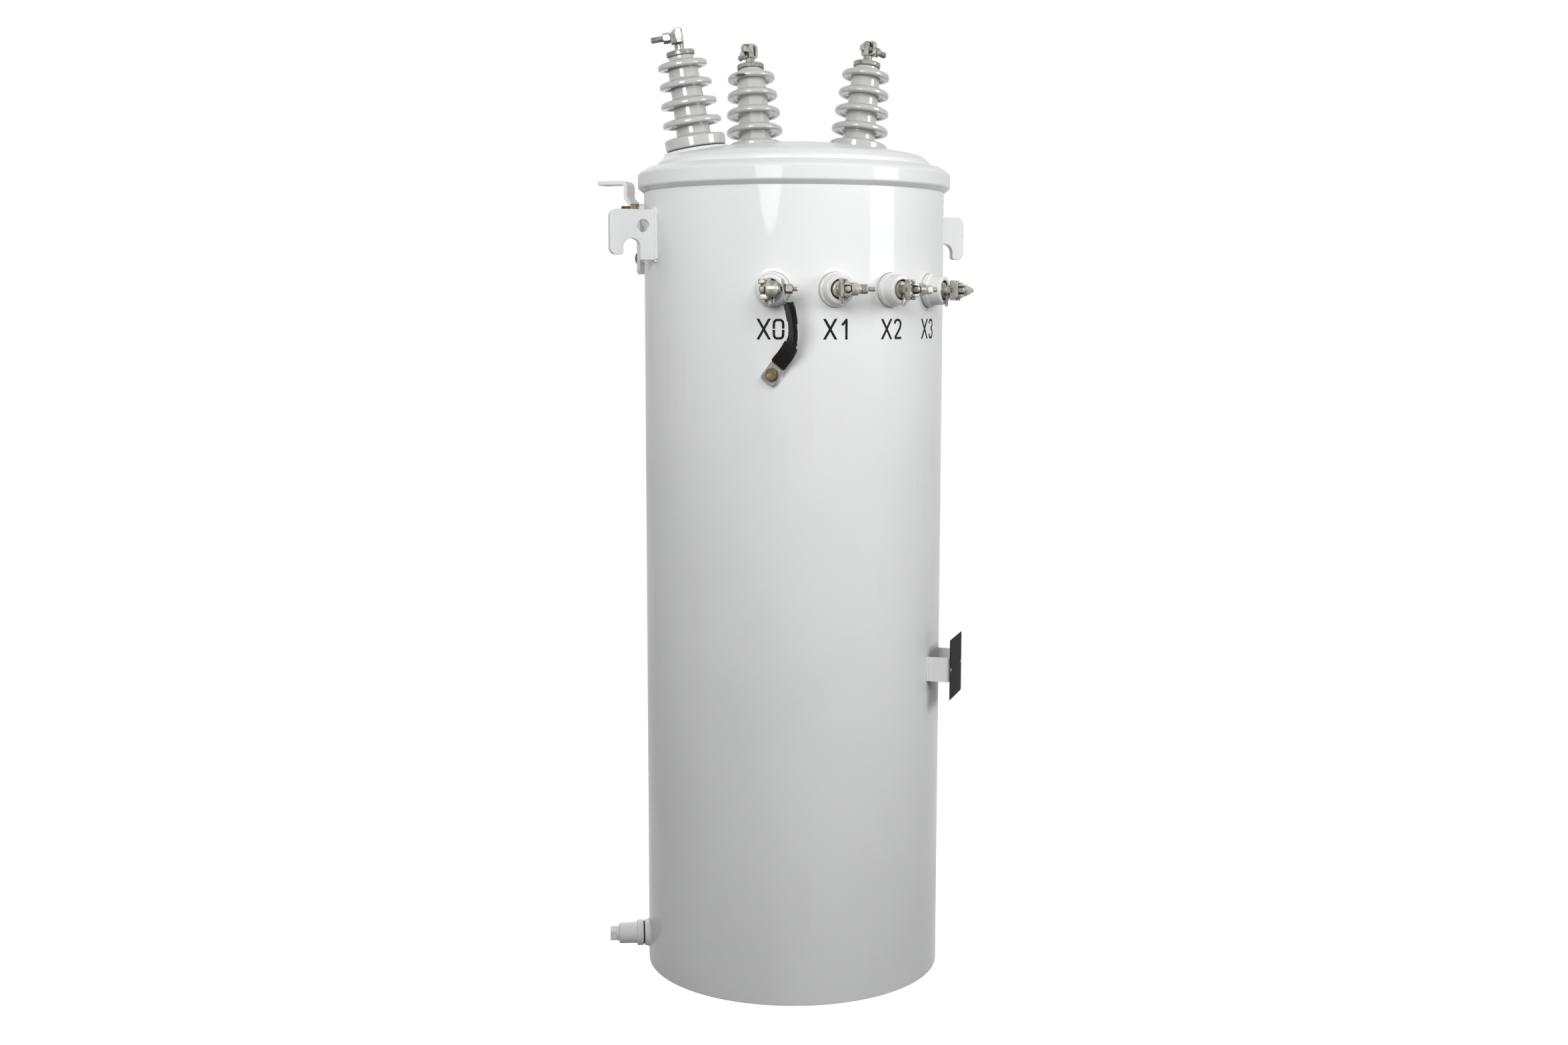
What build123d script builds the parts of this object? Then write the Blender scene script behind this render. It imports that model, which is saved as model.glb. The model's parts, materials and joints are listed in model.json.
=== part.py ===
from build123d import *
import math
import os

# Three phase pole mounted distribution transformer, in millimetres.
# The tank stands on its bottom plate with the origin at the plate's centre and +Z up.
# The low voltage side faces -Y and the pole side +Y. An azimuth is in degrees, 0 at -Y, 90 at +X.

os.makedirs("parts", exist_ok=True)

# ---------------------------------------------------------------- driving dimensions

seat_gap = 0.2              # left between pieces that seat on one another
pole_side = 180             # azimuth of the hangers

# tank
tank_radius = 305
tank_wall = 3.4
tank_height = 1632          # top face of the rolled rim
rim_width = 7
rim_thickness = 4
bottom_thickness = 6
bottom_edge = 3

# cover, its gasket and its clamping band
gasket_thickness = 4
cover_thickness = 3.4
cover_rise = 68             # from the gasket to the crown
crown_inset = 43            # tank wall to where the dome turns down
shoulder_drop = 30          # crown to turn-down
shoulder_turn = 13          # height of the turn-down
shoulder_inset = 27.5       # tank wall to the turned-down step
step_foot = 21              # step's foot above the rim
gasket_margin = 0.5         # gasket and flange inside the rim's edge
band_play = 2.5             # rim's edge to the band's inside
band_wall = 3
band_drop = 29.5            # band's foot below the rim
band_foot_rise = 10         # foot chamfer
band_knee = 6               # upper knee above the rim
band_corner = 4.5
band_lip_run = 15.5
band_lip_angle = 32
band_split = 14             # gap between the band's ends
band_ear = 30
band_ear_thickness = 6
band_ear_corner = 4
band_bolt_radius = 6
band_bolt_play = 0.5
band_bolt_flats = 19
band_bolt_head = 8
band_bolt_nut = 10
band_bolt_tail = 14         # past the far ear

# high voltage bushings on the cover
hv_circle_radius = 198.4
hv_middle_azimuth = 177.6
hv_spread = 65.8
hv_lean = 9.3
hv_base_radius = 61.8
hv_pad_margin = 4.2         # pad beyond the bushing's base
hv_pad_rise = 5
hv_gasket_inset = 3.3       # gasket inside the base's edge
hv_gasket_thickness = 2.5
hv_base_height = 23
hv_shed_radii = (60, 57.2, 53.5, 50.5)
hv_first_shed = 52          # rim of the lowest shed above the base's foot
hv_shed_pitch = 38.4
hv_shed_thickness = 12
hv_core_radius = 31.5
hv_neck_radius = 25.2
hv_cap_margin = 3.6         # cap beyond the neck
hv_cap_thickness = 10
hv_cap_height = 186         # cap's underside above the base's foot

# high voltage clamp terminals
hv_stud_radius = 9.7
hv_stud_length = 13.7
hv_blade_width = 10.4
hv_blade_height = 29.6
hv_blade_thickness = 7.4
hv_nose_width = 11
hv_nose_height = 12
hv_jaw_width = 37.4
hv_jaw_height = 31.6
hv_jaw_wall = 5.6
hv_jaw_rim = 7
hv_jaw_corner = 8
hv_jaw_cone = 10
hv_jaw_shoulder = 4         # cone's foot inside the rim
hv_jaw_taper = 38
hv_blade_back = -10.1       # blade's back face along the clamp rod
hv_nose_rise = 2.5
hv_rod_radius = 6.35
hv_rod_reach = 54.5
hv_nut_flats = 19.05
hv_nut_thickness = 15.5

# low voltage bushings in the tank wall
lv_drop = 226               # row of bushings below the rim
lv_spread = 22.5
lv_count = 4
lv_collar_rise = 4
lv_base_radius = 33
lv_collar_margin = 5.5      # weld collar beyond the base
lv_base_length = 13
lv_base_depth = 14          # base inside the wall's face
lv_body_radius = 29.2
lv_length = 38
lv_bore_radius = 19.5
lv_bore_depth = 10
lv_cap_play = 2             # cap to the bore's side
lv_cap_sink = 3             # cap's face below the bore's mouth
lv_stud_radius = 9.5

# low voltage clamp terminals
lv_jaw_gap = 10             # clamp's start beyond the bushing's face
lv_blade_inset = 4.5        # blade's start beyond the clamp's
lv_blade_width = 15.2
lv_blade_height = 39
lv_blade_thickness = 7
lv_blade_back = -9          # blade's back face along the clamp rod
lv_neck_height = 12
lv_nose_reach = 13.7
lv_nose_height = 13.6
lv_jaw_width = 27
lv_jaw_height = 38
lv_jaw_plate = 6
lv_eye_length = 41          # clamp's start to the eye's tip
lv_eye_height = 30
lv_eye_wall = 6
lv_eye_depth = 9
lv_eye_nose = 13            # length of the eye's rounded tip
lv_eye_floor = 4            # metal behind the eye's window
lv_window_play = 2.4        # window beyond the blade's nose
lv_window_start = 7
lv_window_corner = 3
lv_barrel_radius = 12.8
lv_barrel_end = 22.5
lv_cone_end = 29
lv_cone_radius = 9
lv_rod_inset = 20.5         # rod's axis beyond the clamp's start
lv_rod_radius = 4.76
lv_rod_reach = 57
lv_nut_flats = 15.9
lv_nut_thickness = 12.9
lv_washer_margin = 5        # square washer wider than the stud
lv_tab_width = 6
lv_tab_drop = 28
lv_tab_thickness = 2.6

# lifting lugs
lug_azimuth = 90
lug_reach = 97
lug_drop = 68.5             # top edge below the rim
lug_height = 99
lug_nose_height = 88.5
lug_thickness = 12
lug_corner = 15
lug_hole_radius = 12.7
lug_hole_reach = 27.3
lug_hole_drop = 32
hook_inner = 34             # near wall of the hook's mouth from the tank
hook_width = 35.5
hook_crown_drop = 56.5      # top of the hook's arch below the lug's top
hook_heel = 4               # weld foot's chamfer beside the hook

# arrester bracket
arrester_azimuth = -135
arrester_width = 42
arrester_bar = 8
arrester_tab_reach = 126    # from the tank wall to the tab's tip
arrester_tab_rise = 4       # tab's top above the rim
arrester_hole_inset = 20    # hole from the tab's tip
arrester_upright = 65       # upright's outer face from the tank wall
arrester_leg = 36           # leg's outer face from the tank wall
arrester_jog_start = 32     # below the rim
arrester_jog_end = 66
arrester_length = 186       # rim to the leg's foot
arrester_bolt_rise = 27.5   # lower bolt above the leg's foot
arrester_bolt_pitch = 79
arrester_pad_radius = 14
arrester_hole_radius = 7.1
arrester_bolt_flats = 22.2
arrester_bolt_head = 8.2

# wall grounding stud beside the left lug
stud_azimuth = -114.5
stud_drop = 59              # below the rim
stud_pad_radius = 9
stud_pad_length = 11
stud_radius = 4.76
stud_reach = 47
stud_nut_flats = 15.9
stud_nut_end = 28

# drain valve
drain_azimuth = -110
drain_height = 56.3
drain_boss_radius = 27.5
drain_boss_length = 9.5
drain_seal_radius = 24.2
drain_seal_thickness = 3
drain_collar_radius = 27.2
drain_collar_length = 12.6
drain_body_radius = 21.9
drain_body_length = 37.8
drain_nose_length = 6.3
drain_nose_radius = 15
drain_plug_flats = 27
drain_plug_length = 12.6

# nameplate
plate_azimuth = 47.2
plate_standoff = 41.5
plate_width = 114
plate_height = 123
plate_thickness = 1.2
plate_corner = 2
plate_middle = 645
strap_height = 50
strap_thickness = 3
strap_span = 112
strap_bend = 9

# ground pad and link below the first low voltage bushing
ground_drop = 160.7         # pad below the low voltage row
ground_pad_radius = 17.5
ground_pad_length = 9
ground_bolt_flats = 19.05
ground_bolt_head = 10.6     # with its washer
ground_bolt_radius = 6.35
link_width = 22
link_thickness = 7.5
link_lug_width = 25
link_lug_drop = 15
link_lug_thickness = 3
link_top_shift = 4          # link's end beyond the upper lug's middle
link_pad_length = 36
link_pad_width = 32
link_lean = 53              # lower lug's length from level
link_bow = 44               # link's middle out along the wall

# pole hangers
hanger_drop = 212           # upper hanger below the rim
hanger_pitch = 590.5
hanger_depth = 76
hanger_width = 152
hanger_face_height = 120
hanger_plate = 9.5
hanger_web = 6.4
hanger_web_inset = 10
hanger_corner = 10
hanger_web_foot = 4         # web's wall edge inside the face's height
hanger_web_tip = 12         # web's outer edge inside the face's height
hanger_slot_width = 21
hanger_hole_radius = 15
root_depth = 10             # how far a boss starts inside the wall

# ---------------------------------------------------------------- derived values

shoulder_radius = tank_radius - shoulder_inset
crown_radius = tank_radius - crown_inset
band_radius = tank_radius + rim_width + band_play + band_wall
hv_pad_radius = hv_base_radius + hv_pad_margin
hv_gasket_radius = hv_base_radius - hv_gasket_inset
hv_cap_radius = hv_neck_radius + hv_cap_margin
lv_height = tank_height - lv_drop
lv_collar_radius = lv_base_radius + lv_collar_margin
lv_cap_radius = lv_bore_radius - lv_cap_play
lv_jaw_inner = lv_length + lv_jaw_gap
lv_blade_start = lv_jaw_inner + lv_blade_inset
lv_eye_reach = lv_jaw_inner + lv_eye_length
lv_rod_height = lv_jaw_inner + lv_rod_inset
lug_top = tank_height - lug_drop
arrester_foot = tank_height - arrester_length
arrester_bolt_height = arrester_foot + arrester_bolt_rise
stud_height = tank_height - stud_drop
ground_height = lv_height - ground_drop
hanger_upper = tank_height - hanger_drop
lv_azimuths = [lv_spread * (k - (lv_count - 1) / 2) for k in range(lv_count)]
hv_azimuths = [hv_middle_azimuth + hv_spread * (k - 1) for k in (2, 1, 0)]
cover_seat = tank_height + gasket_thickness
crown_top = cover_seat + cover_rise
dome_radius = (crown_radius**2 + shoulder_drop**2) / (2 * shoulder_drop)
arrester_seat = arrester_leg - arrester_bar - seat_gap
arrester_tab_top = tank_height + arrester_tab_rise
lip_slope = math.tan(math.radians(band_lip_angle))


def dome_height(radius):
    """Height of the cover's outer face at a radius inside the dome."""
    return crown_top - dome_radius + math.sqrt(dome_radius**2 - radius**2)


def wall_plane(azimuth, height, reach=0):
    """Plane facing outward from the tank wall: x along the wall, y up."""
    turn = math.radians(azimuth)
    outward = (math.sin(turn), -math.cos(turn), 0)
    along = (math.cos(turn), math.sin(turn), 0)
    start = (tank_radius + reach) * Vector(*outward) + Vector(0, 0, height)
    return Plane(origin=start, x_dir=along, z_dir=outward)


def side_plane(azimuth, height=0, reach=0):
    """Plane that holds the tank's axis: x outward from the tank wall, y up."""
    turn = math.radians(azimuth)
    outward = (math.sin(turn), -math.cos(turn), 0)
    back = (-math.cos(turn), -math.sin(turn), 0)
    start = (tank_radius + reach) * Vector(*outward) + Vector(0, 0, height)
    return Plane(origin=start, x_dir=outward, z_dir=back)


def cover_plane(azimuth, rise=0):
    """Plane square to the dome at a bushing: x along the circle, y towards the middle."""
    turn = math.radians(azimuth)
    lean = math.radians(hv_lean)
    axis = Vector(math.sin(lean) * math.sin(turn), -math.sin(lean) * math.cos(turn), math.cos(lean))
    foot = Vector(hv_circle_radius * math.sin(turn), -hv_circle_radius * math.cos(turn),
                  dome_height(hv_circle_radius))
    return Plane(origin=foot + rise * axis, x_dir=(math.cos(turn), math.sin(turn), 0), z_dir=axis)


def clamp_plane(azimuth, rise):
    """Plane square to a cover terminal's clamp rod: x along the circle, y up the stud."""
    base = cover_plane(azimuth, rise)
    return Plane(origin=base.origin, x_dir=base.x_dir, z_dir=-base.y_dir)


def save(piece, name):
    """Label a finished piece and write its file."""
    piece.part.label = name
    export_step(piece.part, f"parts/{name}.step")


# ---------------------------------------------------------------- tank

with BuildPart() as tank_shell:
    with BuildSketch(Plane.XZ):
        with BuildLine():
            Polyline(
                (tank_radius - tank_wall, 0),
                (tank_radius - bottom_edge, 0),
                (tank_radius, bottom_edge),
                (tank_radius, tank_height - rim_thickness),
                (tank_radius + rim_width, tank_height - rim_thickness),
                (tank_radius + rim_width, tank_height),
                (tank_radius - tank_wall, tank_height),
                close=True,
            )
        make_face()
    revolve(axis=Axis.Z)
    for azimuth in lv_azimuths:
        with BuildSketch(wall_plane(azimuth, lv_height, -root_depth)):
            Circle(lv_collar_radius)
        extrude(amount=root_depth + lv_collar_rise)
    for drop in (0, arrester_bolt_pitch):
        with BuildSketch(wall_plane(arrester_azimuth, arrester_bolt_height + drop, -root_depth)):
            Circle(arrester_pad_radius)
        extrude(amount=root_depth + arrester_seat)
    with BuildSketch(wall_plane(stud_azimuth, stud_height, -root_depth)):
        Circle(stud_pad_radius)
    extrude(amount=root_depth + stud_pad_length)
    with BuildSketch(wall_plane(drain_azimuth, drain_height, -root_depth)):
        Circle(drain_boss_radius)
    extrude(amount=root_depth + drain_boss_length)
    with BuildSketch(wall_plane(lv_azimuths[0], ground_height, -root_depth)):
        Circle(ground_pad_radius)
    extrude(amount=root_depth + ground_pad_length)
    with BuildSketch():
        Circle(tank_radius - tank_wall)
    extrude(amount=tank_height, mode=Mode.SUBTRACT)
    for azimuth in lv_azimuths:
        with BuildSketch(wall_plane(azimuth, lv_height)):
            Circle(lv_base_radius + seat_gap)
        extrude(amount=2 * lv_base_depth, both=True, mode=Mode.SUBTRACT)
save(tank_shell, "tank_shell")

with BuildPart() as tank_bottom:
    with BuildSketch():
        Circle(tank_radius - tank_wall - seat_gap)
    extrude(amount=bottom_thickness)
save(tank_bottom, "tank_bottom")

# ---------------------------------------------------------------- cover

gasket_outer = tank_radius + rim_width - gasket_margin

with BuildPart() as cover_gasket:
    with BuildSketch(Plane.XY.offset(tank_height)):
        Circle(gasket_outer)
        Circle(tank_radius - tank_wall, mode=Mode.SUBTRACT)
    extrude(amount=gasket_thickness)
save(cover_gasket, "cover_gasket")


def band_lip(radius):
    """Height of the band's upper lip, outer face, at a radius."""
    return tank_height + band_knee + band_corner + (band_radius - band_corner - radius) * lip_slope


band_lip_end = band_radius - band_corner - band_lip_run
band_lip_drop = band_wall / math.cos(math.radians(band_lip_angle)) + seat_gap

cover_shoulder_height = crown_top - shoulder_drop
step_foot_height = tank_height + step_foot

flange_drop = band_lip(band_lip_end) - band_lip_drop
shoulder_foot = cover_shoulder_height - shoulder_turn
dome_radii = [crown_radius * share for share in (0.35, 0.7)]

with BuildPart() as cover:
    with BuildSketch(Plane.XZ):
        with BuildLine():
            Polyline(
                (0, dome_height(dome_radii[0])),
                *[(radius, dome_height(radius)) for radius in dome_radii],
                (crown_radius, cover_shoulder_height),
                (shoulder_radius, shoulder_foot),
                (shoulder_radius, step_foot_height),
                (band_lip_end - 1, flange_drop),
                (gasket_outer, band_lip(gasket_outer) - band_lip_drop),
                (gasket_outer, cover_seat),
                (tank_radius - tank_wall, cover_seat),
                (shoulder_radius - cover_thickness, step_foot_height - cover_thickness - 1),
                (shoulder_radius - cover_thickness, shoulder_foot - cover_thickness),
                (crown_radius, cover_shoulder_height - 2 * cover_thickness),
                (dome_radii[1], dome_height(dome_radii[1]) - 2 * cover_thickness),
                (0, dome_height(dome_radii[1]) - 2 * cover_thickness),
                close=True,
            )
        make_face()
    revolve(axis=Axis.Z)
    for azimuth in hv_azimuths:
        with BuildSketch(cover_plane(azimuth, hv_pad_rise)):
            Circle(hv_pad_radius)
        extrude(amount=-hv_pad_rise - cover_thickness)
save(cover, "cover")

foot_lean = math.atan2(band_foot_rise, band_radius - tank_radius)
band_foot_radius = tank_radius + seat_gap + 1.2 * band_wall * math.sin(foot_lean)

with BuildPart() as cover_band:
    with BuildSketch(Plane.XZ):
        with BuildLine():
            foot = Line(
                (band_foot_radius, tank_height - band_drop),
                (band_radius, tank_height - band_drop + band_foot_rise),
            )
            face = Line(foot @ 1, (band_radius, tank_height + band_knee))
            knee = Line(face @ 1, (band_radius - band_corner, band_lip(band_radius - band_corner)))
            Line(knee @ 1, (band_lip_end, band_lip(band_lip_end)))
            offset(amount=band_wall, side=Side.LEFT, kind=Kind.INTERSECTION)
        make_face()
    revolve(axis=Axis.Z)
    band_middle = tank_height + (band_knee - band_drop + band_foot_rise) / 2
    ear_height = band_drop + band_knee - band_foot_rise
    for side in (-1, 1):
        ear_plane = Plane(
            origin=(side * band_split / 2, band_radius, band_middle),
            x_dir=(0, 1, 0),
            z_dir=(side, 0, 0),
        )
        with BuildSketch(ear_plane):
            with Locations((band_ear / 2 - band_wall, 0)):
                RectangleRounded(band_ear + band_wall, ear_height, radius=band_ear_corner)
            with Locations((band_ear / 2 + band_wall, 0)):
                Circle(band_bolt_radius + band_bolt_play, mode=Mode.SUBTRACT)
        extrude(amount=band_ear_thickness)
    with BuildSketch(Plane.XY.offset(tank_height - band_drop)):
        with Locations((0, band_radius)):
            Rectangle(band_split, 4 * band_wall + 2 * band_ear)
    extrude(amount=3 * band_drop, mode=Mode.SUBTRACT)
save(cover_band, "cover_band")

ear_outside = band_split / 2 + band_ear_thickness + seat_gap

with BuildPart() as band_bolt:
    bolt_start = Plane(
        origin=(-ear_outside, band_radius + band_ear / 2 + band_wall, band_middle),
        x_dir=(0, 1, 0),
        z_dir=(1, 0, 0),
    )
    with BuildSketch(bolt_start):
        Circle(band_bolt_radius)
    extrude(amount=2 * ear_outside + band_bolt_tail)
    with BuildSketch(bolt_start):
        RegularPolygon(radius=band_bolt_flats / 2, side_count=6, major_radius=False)
    extrude(amount=-band_bolt_head)
    with BuildSketch(bolt_start.offset(2 * ear_outside)):
        RegularPolygon(radius=band_bolt_flats / 2, side_count=6, major_radius=False)
    extrude(amount=band_bolt_nut)
save(band_bolt, "band_bolt")

# ---------------------------------------------------------------- high voltage bushings

hv_foot = hv_pad_rise + hv_gasket_thickness
hv_neck_start = hv_first_shed + (len(hv_shed_radii) - 1) * hv_shed_pitch

with BuildPart() as hv_bushings:
    for azimuth in hv_azimuths:
        section = clamp_plane(azimuth, hv_foot)
        with BuildSketch(section):
            with BuildLine():
                Polyline(
                    (0, 0),
                    (hv_base_radius, 0),
                    (hv_base_radius, hv_base_height),
                    (hv_core_radius, hv_base_height),
                    (hv_core_radius, hv_neck_start),
                    (hv_neck_radius, hv_neck_start),
                    (hv_neck_radius, hv_cap_height - seat_gap),
                    (0, hv_cap_height - seat_gap),
                    close=True,
                )
            make_face()
            for count, radius in enumerate(hv_shed_radii):
                with Locations((radius / 2, hv_first_shed + count * hv_shed_pitch)):
                    Rectangle(radius, hv_shed_thickness)
        revolve(axis=Axis(section.origin, section.y_dir))
save(hv_bushings, "hv_bushings")

with BuildPart() as hv_gaskets:
    for azimuth in hv_azimuths:
        with BuildSketch(cover_plane(azimuth, hv_pad_rise)):
            Circle(hv_gasket_radius)
        extrude(amount=hv_gasket_thickness)
save(hv_gaskets, "hv_gaskets")

with BuildPart() as hv_caps:
    for azimuth in hv_azimuths:
        with BuildSketch(cover_plane(azimuth, hv_foot + hv_cap_height)):
            Circle(hv_cap_radius)
        extrude(amount=hv_cap_thickness)
save(hv_caps, "hv_caps")

# ---------------------------------------------------------------- high voltage terminals

hv_stud_foot = hv_foot + hv_cap_height + hv_cap_thickness
hv_clamp_height = hv_stud_foot + hv_stud_length + seat_gap + hv_jaw_height / 2
hv_blade_foot = -hv_jaw_height / 2 - seat_gap
hv_blade_front = hv_blade_back + hv_blade_thickness
hv_jaw_back = hv_blade_front + seat_gap
hv_jaw_end = hv_jaw_back + hv_jaw_rim + hv_jaw_cone

with BuildPart() as hv_terminals:
    for azimuth in hv_azimuths:
        clamp = clamp_plane(azimuth, hv_clamp_height)
        with BuildSketch(cover_plane(azimuth, hv_stud_foot)):
            Circle(hv_stud_radius)
        extrude(amount=hv_stud_length)
        with BuildSketch(clamp.offset(hv_blade_back)):
            with Locations((0, hv_blade_foot + hv_blade_height / 2)):
                Rectangle(hv_blade_width, hv_blade_height)
            with Locations((hv_blade_width / 2 + hv_nose_width / 2 - 1, hv_nose_rise)):
                Rectangle(hv_nose_width + 2, hv_nose_height)
        extrude(amount=hv_blade_thickness)
        with BuildSketch(clamp.offset(hv_blade_front)):
            Circle(hv_rod_radius)
        extrude(amount=hv_rod_reach - hv_blade_front)
        with BuildSketch(clamp.offset(hv_jaw_end + seat_gap)):
            RegularPolygon(radius=hv_nut_flats / 2, side_count=6, major_radius=False)
        extrude(amount=hv_nut_thickness)
save(hv_terminals, "hv_terminals")

with BuildPart() as hv_clamps:
    for azimuth in hv_azimuths:
        clamp = clamp_plane(azimuth, hv_clamp_height)
        with BuildSketch(clamp.offset(hv_jaw_back)):
            RectangleRounded(hv_jaw_width, hv_jaw_height, radius=hv_jaw_corner)
            Rectangle(
                hv_jaw_width - 2 * hv_jaw_wall,
                hv_jaw_height - 2 * hv_jaw_wall,
                mode=Mode.SUBTRACT,
            )
        extrude(amount=hv_jaw_rim)
        with BuildSketch(clamp.offset(hv_jaw_back + hv_jaw_rim)):
            Rectangle(hv_jaw_width - hv_jaw_shoulder, hv_jaw_height - hv_jaw_shoulder)
        extrude(amount=hv_jaw_cone, taper=hv_jaw_taper)
        with BuildSketch(clamp.offset(hv_jaw_back)):
            Circle(hv_rod_radius + seat_gap)
        extrude(amount=hv_jaw_rim + hv_jaw_cone, mode=Mode.SUBTRACT)
save(hv_clamps, "hv_clamps")

# ---------------------------------------------------------------- low voltage bushings

with BuildPart() as lv_bushings:
    for azimuth in lv_azimuths:
        base = wall_plane(azimuth, lv_height)
        section = Plane(origin=base.origin, x_dir=base.x_dir, z_dir=-base.y_dir)
        with BuildSketch(section):
            with BuildLine():
                Polyline(
                    (0, -lv_base_depth),
                    (lv_base_radius, -lv_base_depth),
                    (lv_base_radius, lv_base_length),
                    (lv_body_radius, lv_base_length),
                    (lv_body_radius, lv_length),
                    (lv_bore_radius, lv_length),
                    (lv_bore_radius, lv_length - lv_bore_depth),
                    (0, lv_length - lv_bore_depth),
                    close=True,
                )
            make_face()
        revolve(axis=Axis(section.origin, section.y_dir))
save(lv_bushings, "lv_bushings")

# ---------------------------------------------------------------- low voltage terminals

lv_blade_middle = lv_blade_start + lv_blade_width / 2
lv_blade_front = lv_blade_back + lv_blade_thickness


def across_plane(azimuth, along):
    """Plane square to a wall terminal's clamp rod: x outward from the wall, y down."""
    middle = wall_plane(azimuth, lv_height)
    return Plane(origin=middle.origin + along * middle.x_dir, x_dir=middle.z_dir, z_dir=middle.x_dir)


lug_seat = lv_cone_end + seat_gap
cap_foot = lv_length - lv_bore_depth + seat_gap
nose_middle = lv_blade_start + lv_blade_width + lv_nose_reach / 2
lv_washer_width = 2 * lv_stud_radius + lv_washer_margin

with BuildPart() as lv_terminals:
    for count, azimuth in enumerate(lv_azimuths):
        base = wall_plane(azimuth, lv_height)
        with BuildSketch(base.offset(cap_foot)):
            Circle(lv_cap_radius)
        extrude(amount=lv_bore_depth - lv_cap_sink)
        with BuildSketch(base.offset(cap_foot)):
            Circle(lv_stud_radius)
        extrude(amount=lv_jaw_inner - 2 * seat_gap - cap_foot)
        with BuildSketch(base.offset(lv_jaw_inner - 1)):
            with Locations((lv_blade_back + lv_blade_thickness / 2, 0)):
                Rectangle(lv_blade_thickness, lv_neck_height)
        extrude(amount=lv_blade_middle - lv_jaw_inner)
        with BuildSketch(base.offset(lv_length + 1)):
            Rectangle(lv_washer_width, lv_washer_width)
            with Locations((0, -lv_tab_drop / 2)):
                Rectangle(lv_tab_width, lv_tab_drop)
        extrude(amount=lv_tab_thickness)
        with BuildSketch(across_plane(azimuth, lv_blade_back)):
            with Locations((lv_blade_middle, 0)):
                Rectangle(lv_blade_width, lv_blade_height)
        extrude(amount=lv_blade_thickness)
        with BuildSketch(across_plane(azimuth, lv_blade_back + 1)):
            with Locations((nose_middle - 1.5, 0)):
                Rectangle(lv_nose_reach + 3, lv_nose_height)
        extrude(amount=lv_blade_thickness + 3.5)
        with BuildSketch(across_plane(azimuth, lv_blade_front)):
            with Locations((lv_rod_height, 0)):
                Circle(lv_rod_radius)
        extrude(amount=lv_rod_reach - lv_blade_front)
        nut_start = lug_seat + (link_lug_thickness + seat_gap if count == 0 else 0)
        with BuildSketch(across_plane(azimuth, nut_start)):
            with Locations((lv_rod_height, 0)):
                RegularPolygon(radius=lv_nut_flats / 2, side_count=6, major_radius=False)
        extrude(amount=lv_nut_thickness)
save(lv_terminals, "lv_terminals")

jaw_start = lv_blade_front + seat_gap
eye_start = lv_jaw_inner + lv_jaw_width / 2
eye_turn = lv_eye_reach - lv_eye_nose
window = lv_nose_height / 2 + lv_window_play
window_corner = window - lv_window_corner
window_start = lv_jaw_inner + lv_window_start
window_end = lv_eye_reach - lv_eye_wall

with BuildPart() as lv_clamps:
    for azimuth in lv_azimuths:
        with BuildSketch(across_plane(azimuth, jaw_start)):
            with Locations((lv_jaw_inner + lv_jaw_width / 2, 0)):
                Rectangle(lv_jaw_width, lv_jaw_height)
        extrude(amount=lv_jaw_plate)
        with BuildSketch(across_plane(azimuth, jaw_start)):
            with BuildLine():
                upper = Line((eye_start, lv_eye_height / 2), (eye_turn, lv_eye_height / 2))
                ThreePointArc(upper @ 1, (lv_eye_reach, 0), (eye_turn, -lv_eye_height / 2))
                Polyline((eye_turn, -lv_eye_height / 2), (eye_start, -lv_eye_height / 2), upper @ 0)
            make_face()
        extrude(amount=lv_eye_depth + lv_eye_floor)
        with BuildSketch(across_plane(azimuth, jaw_start)):
            with Locations((lv_rod_height, 0)):
                Circle(lv_barrel_radius)
        extrude(amount=lv_barrel_end - jaw_start)
        with BuildSketch(across_plane(azimuth, lv_barrel_end)):
            with Locations((lv_rod_height, 0)):
                Circle(lv_cone_radius)
        extrude(amount=lv_cone_end - lv_barrel_end)
        with BuildSketch(across_plane(azimuth, jaw_start)):
            with BuildLine():
                Polyline(
                    (window_start, -window),
                    (window_end - lv_window_corner, -window),
                    (window_end, -window_corner),
                    (window_end, window_corner),
                    (window_end - lv_window_corner, window),
                    (window_start, window),
                    close=True,
                )
            make_face()
        extrude(amount=lv_eye_depth, mode=Mode.SUBTRACT)
        with BuildSketch(across_plane(azimuth, jaw_start)):
            with Locations((lv_rod_height, 0)):
                Circle(lv_rod_radius + seat_gap)
        extrude(amount=lv_rod_reach, mode=Mode.SUBTRACT)
save(lv_clamps, "lv_clamps")

# ---------------------------------------------------------------- lifting lugs

hook_radius = hook_width / 2
hook_middle = hook_inner + hook_radius
hook_arch = hook_crown_drop + hook_radius


def lug_part(azimuth):
    """Flat plate with a lifting eye above a hook that opens downward."""
    with BuildPart() as lug:
        with BuildSketch(side_plane(azimuth, lug_top)):
            with BuildLine():
                Polyline(
                    (0, 0),
                    (lug_reach, 0),
                    (lug_reach, -lug_nose_height),
                    (hook_inner + hook_width, -lug_nose_height),
                    (hook_inner + hook_heel, -lug_nose_height + hook_heel / 2),
                    (hook_inner, -lug_height),
                    (0, -lug_height),
                    close=True,
                )
            make_face()
            with Locations((hook_middle, -hook_arch)):
                Circle(hook_radius, mode=Mode.SUBTRACT)
            with Locations((hook_middle, -hook_arch - lug_height / 2)):
                Rectangle(hook_width, lug_height, mode=Mode.SUBTRACT)
            with Locations((lug_hole_reach, -lug_hole_drop)):
                Circle(lug_hole_radius, mode=Mode.SUBTRACT)
        extrude(amount=lug_thickness / 2, both=True)
        outward = side_plane(azimuth).x_dir
        tips = lug.edges().filter_by(Axis((0, 0, 0), side_plane(azimuth).z_dir))
        tips = tips.filter_by(lambda edge: edge.center().dot(outward) > tank_radius + lug_reach - 1)
        fillet(tips, radius=lug_corner)
    return lug


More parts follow.
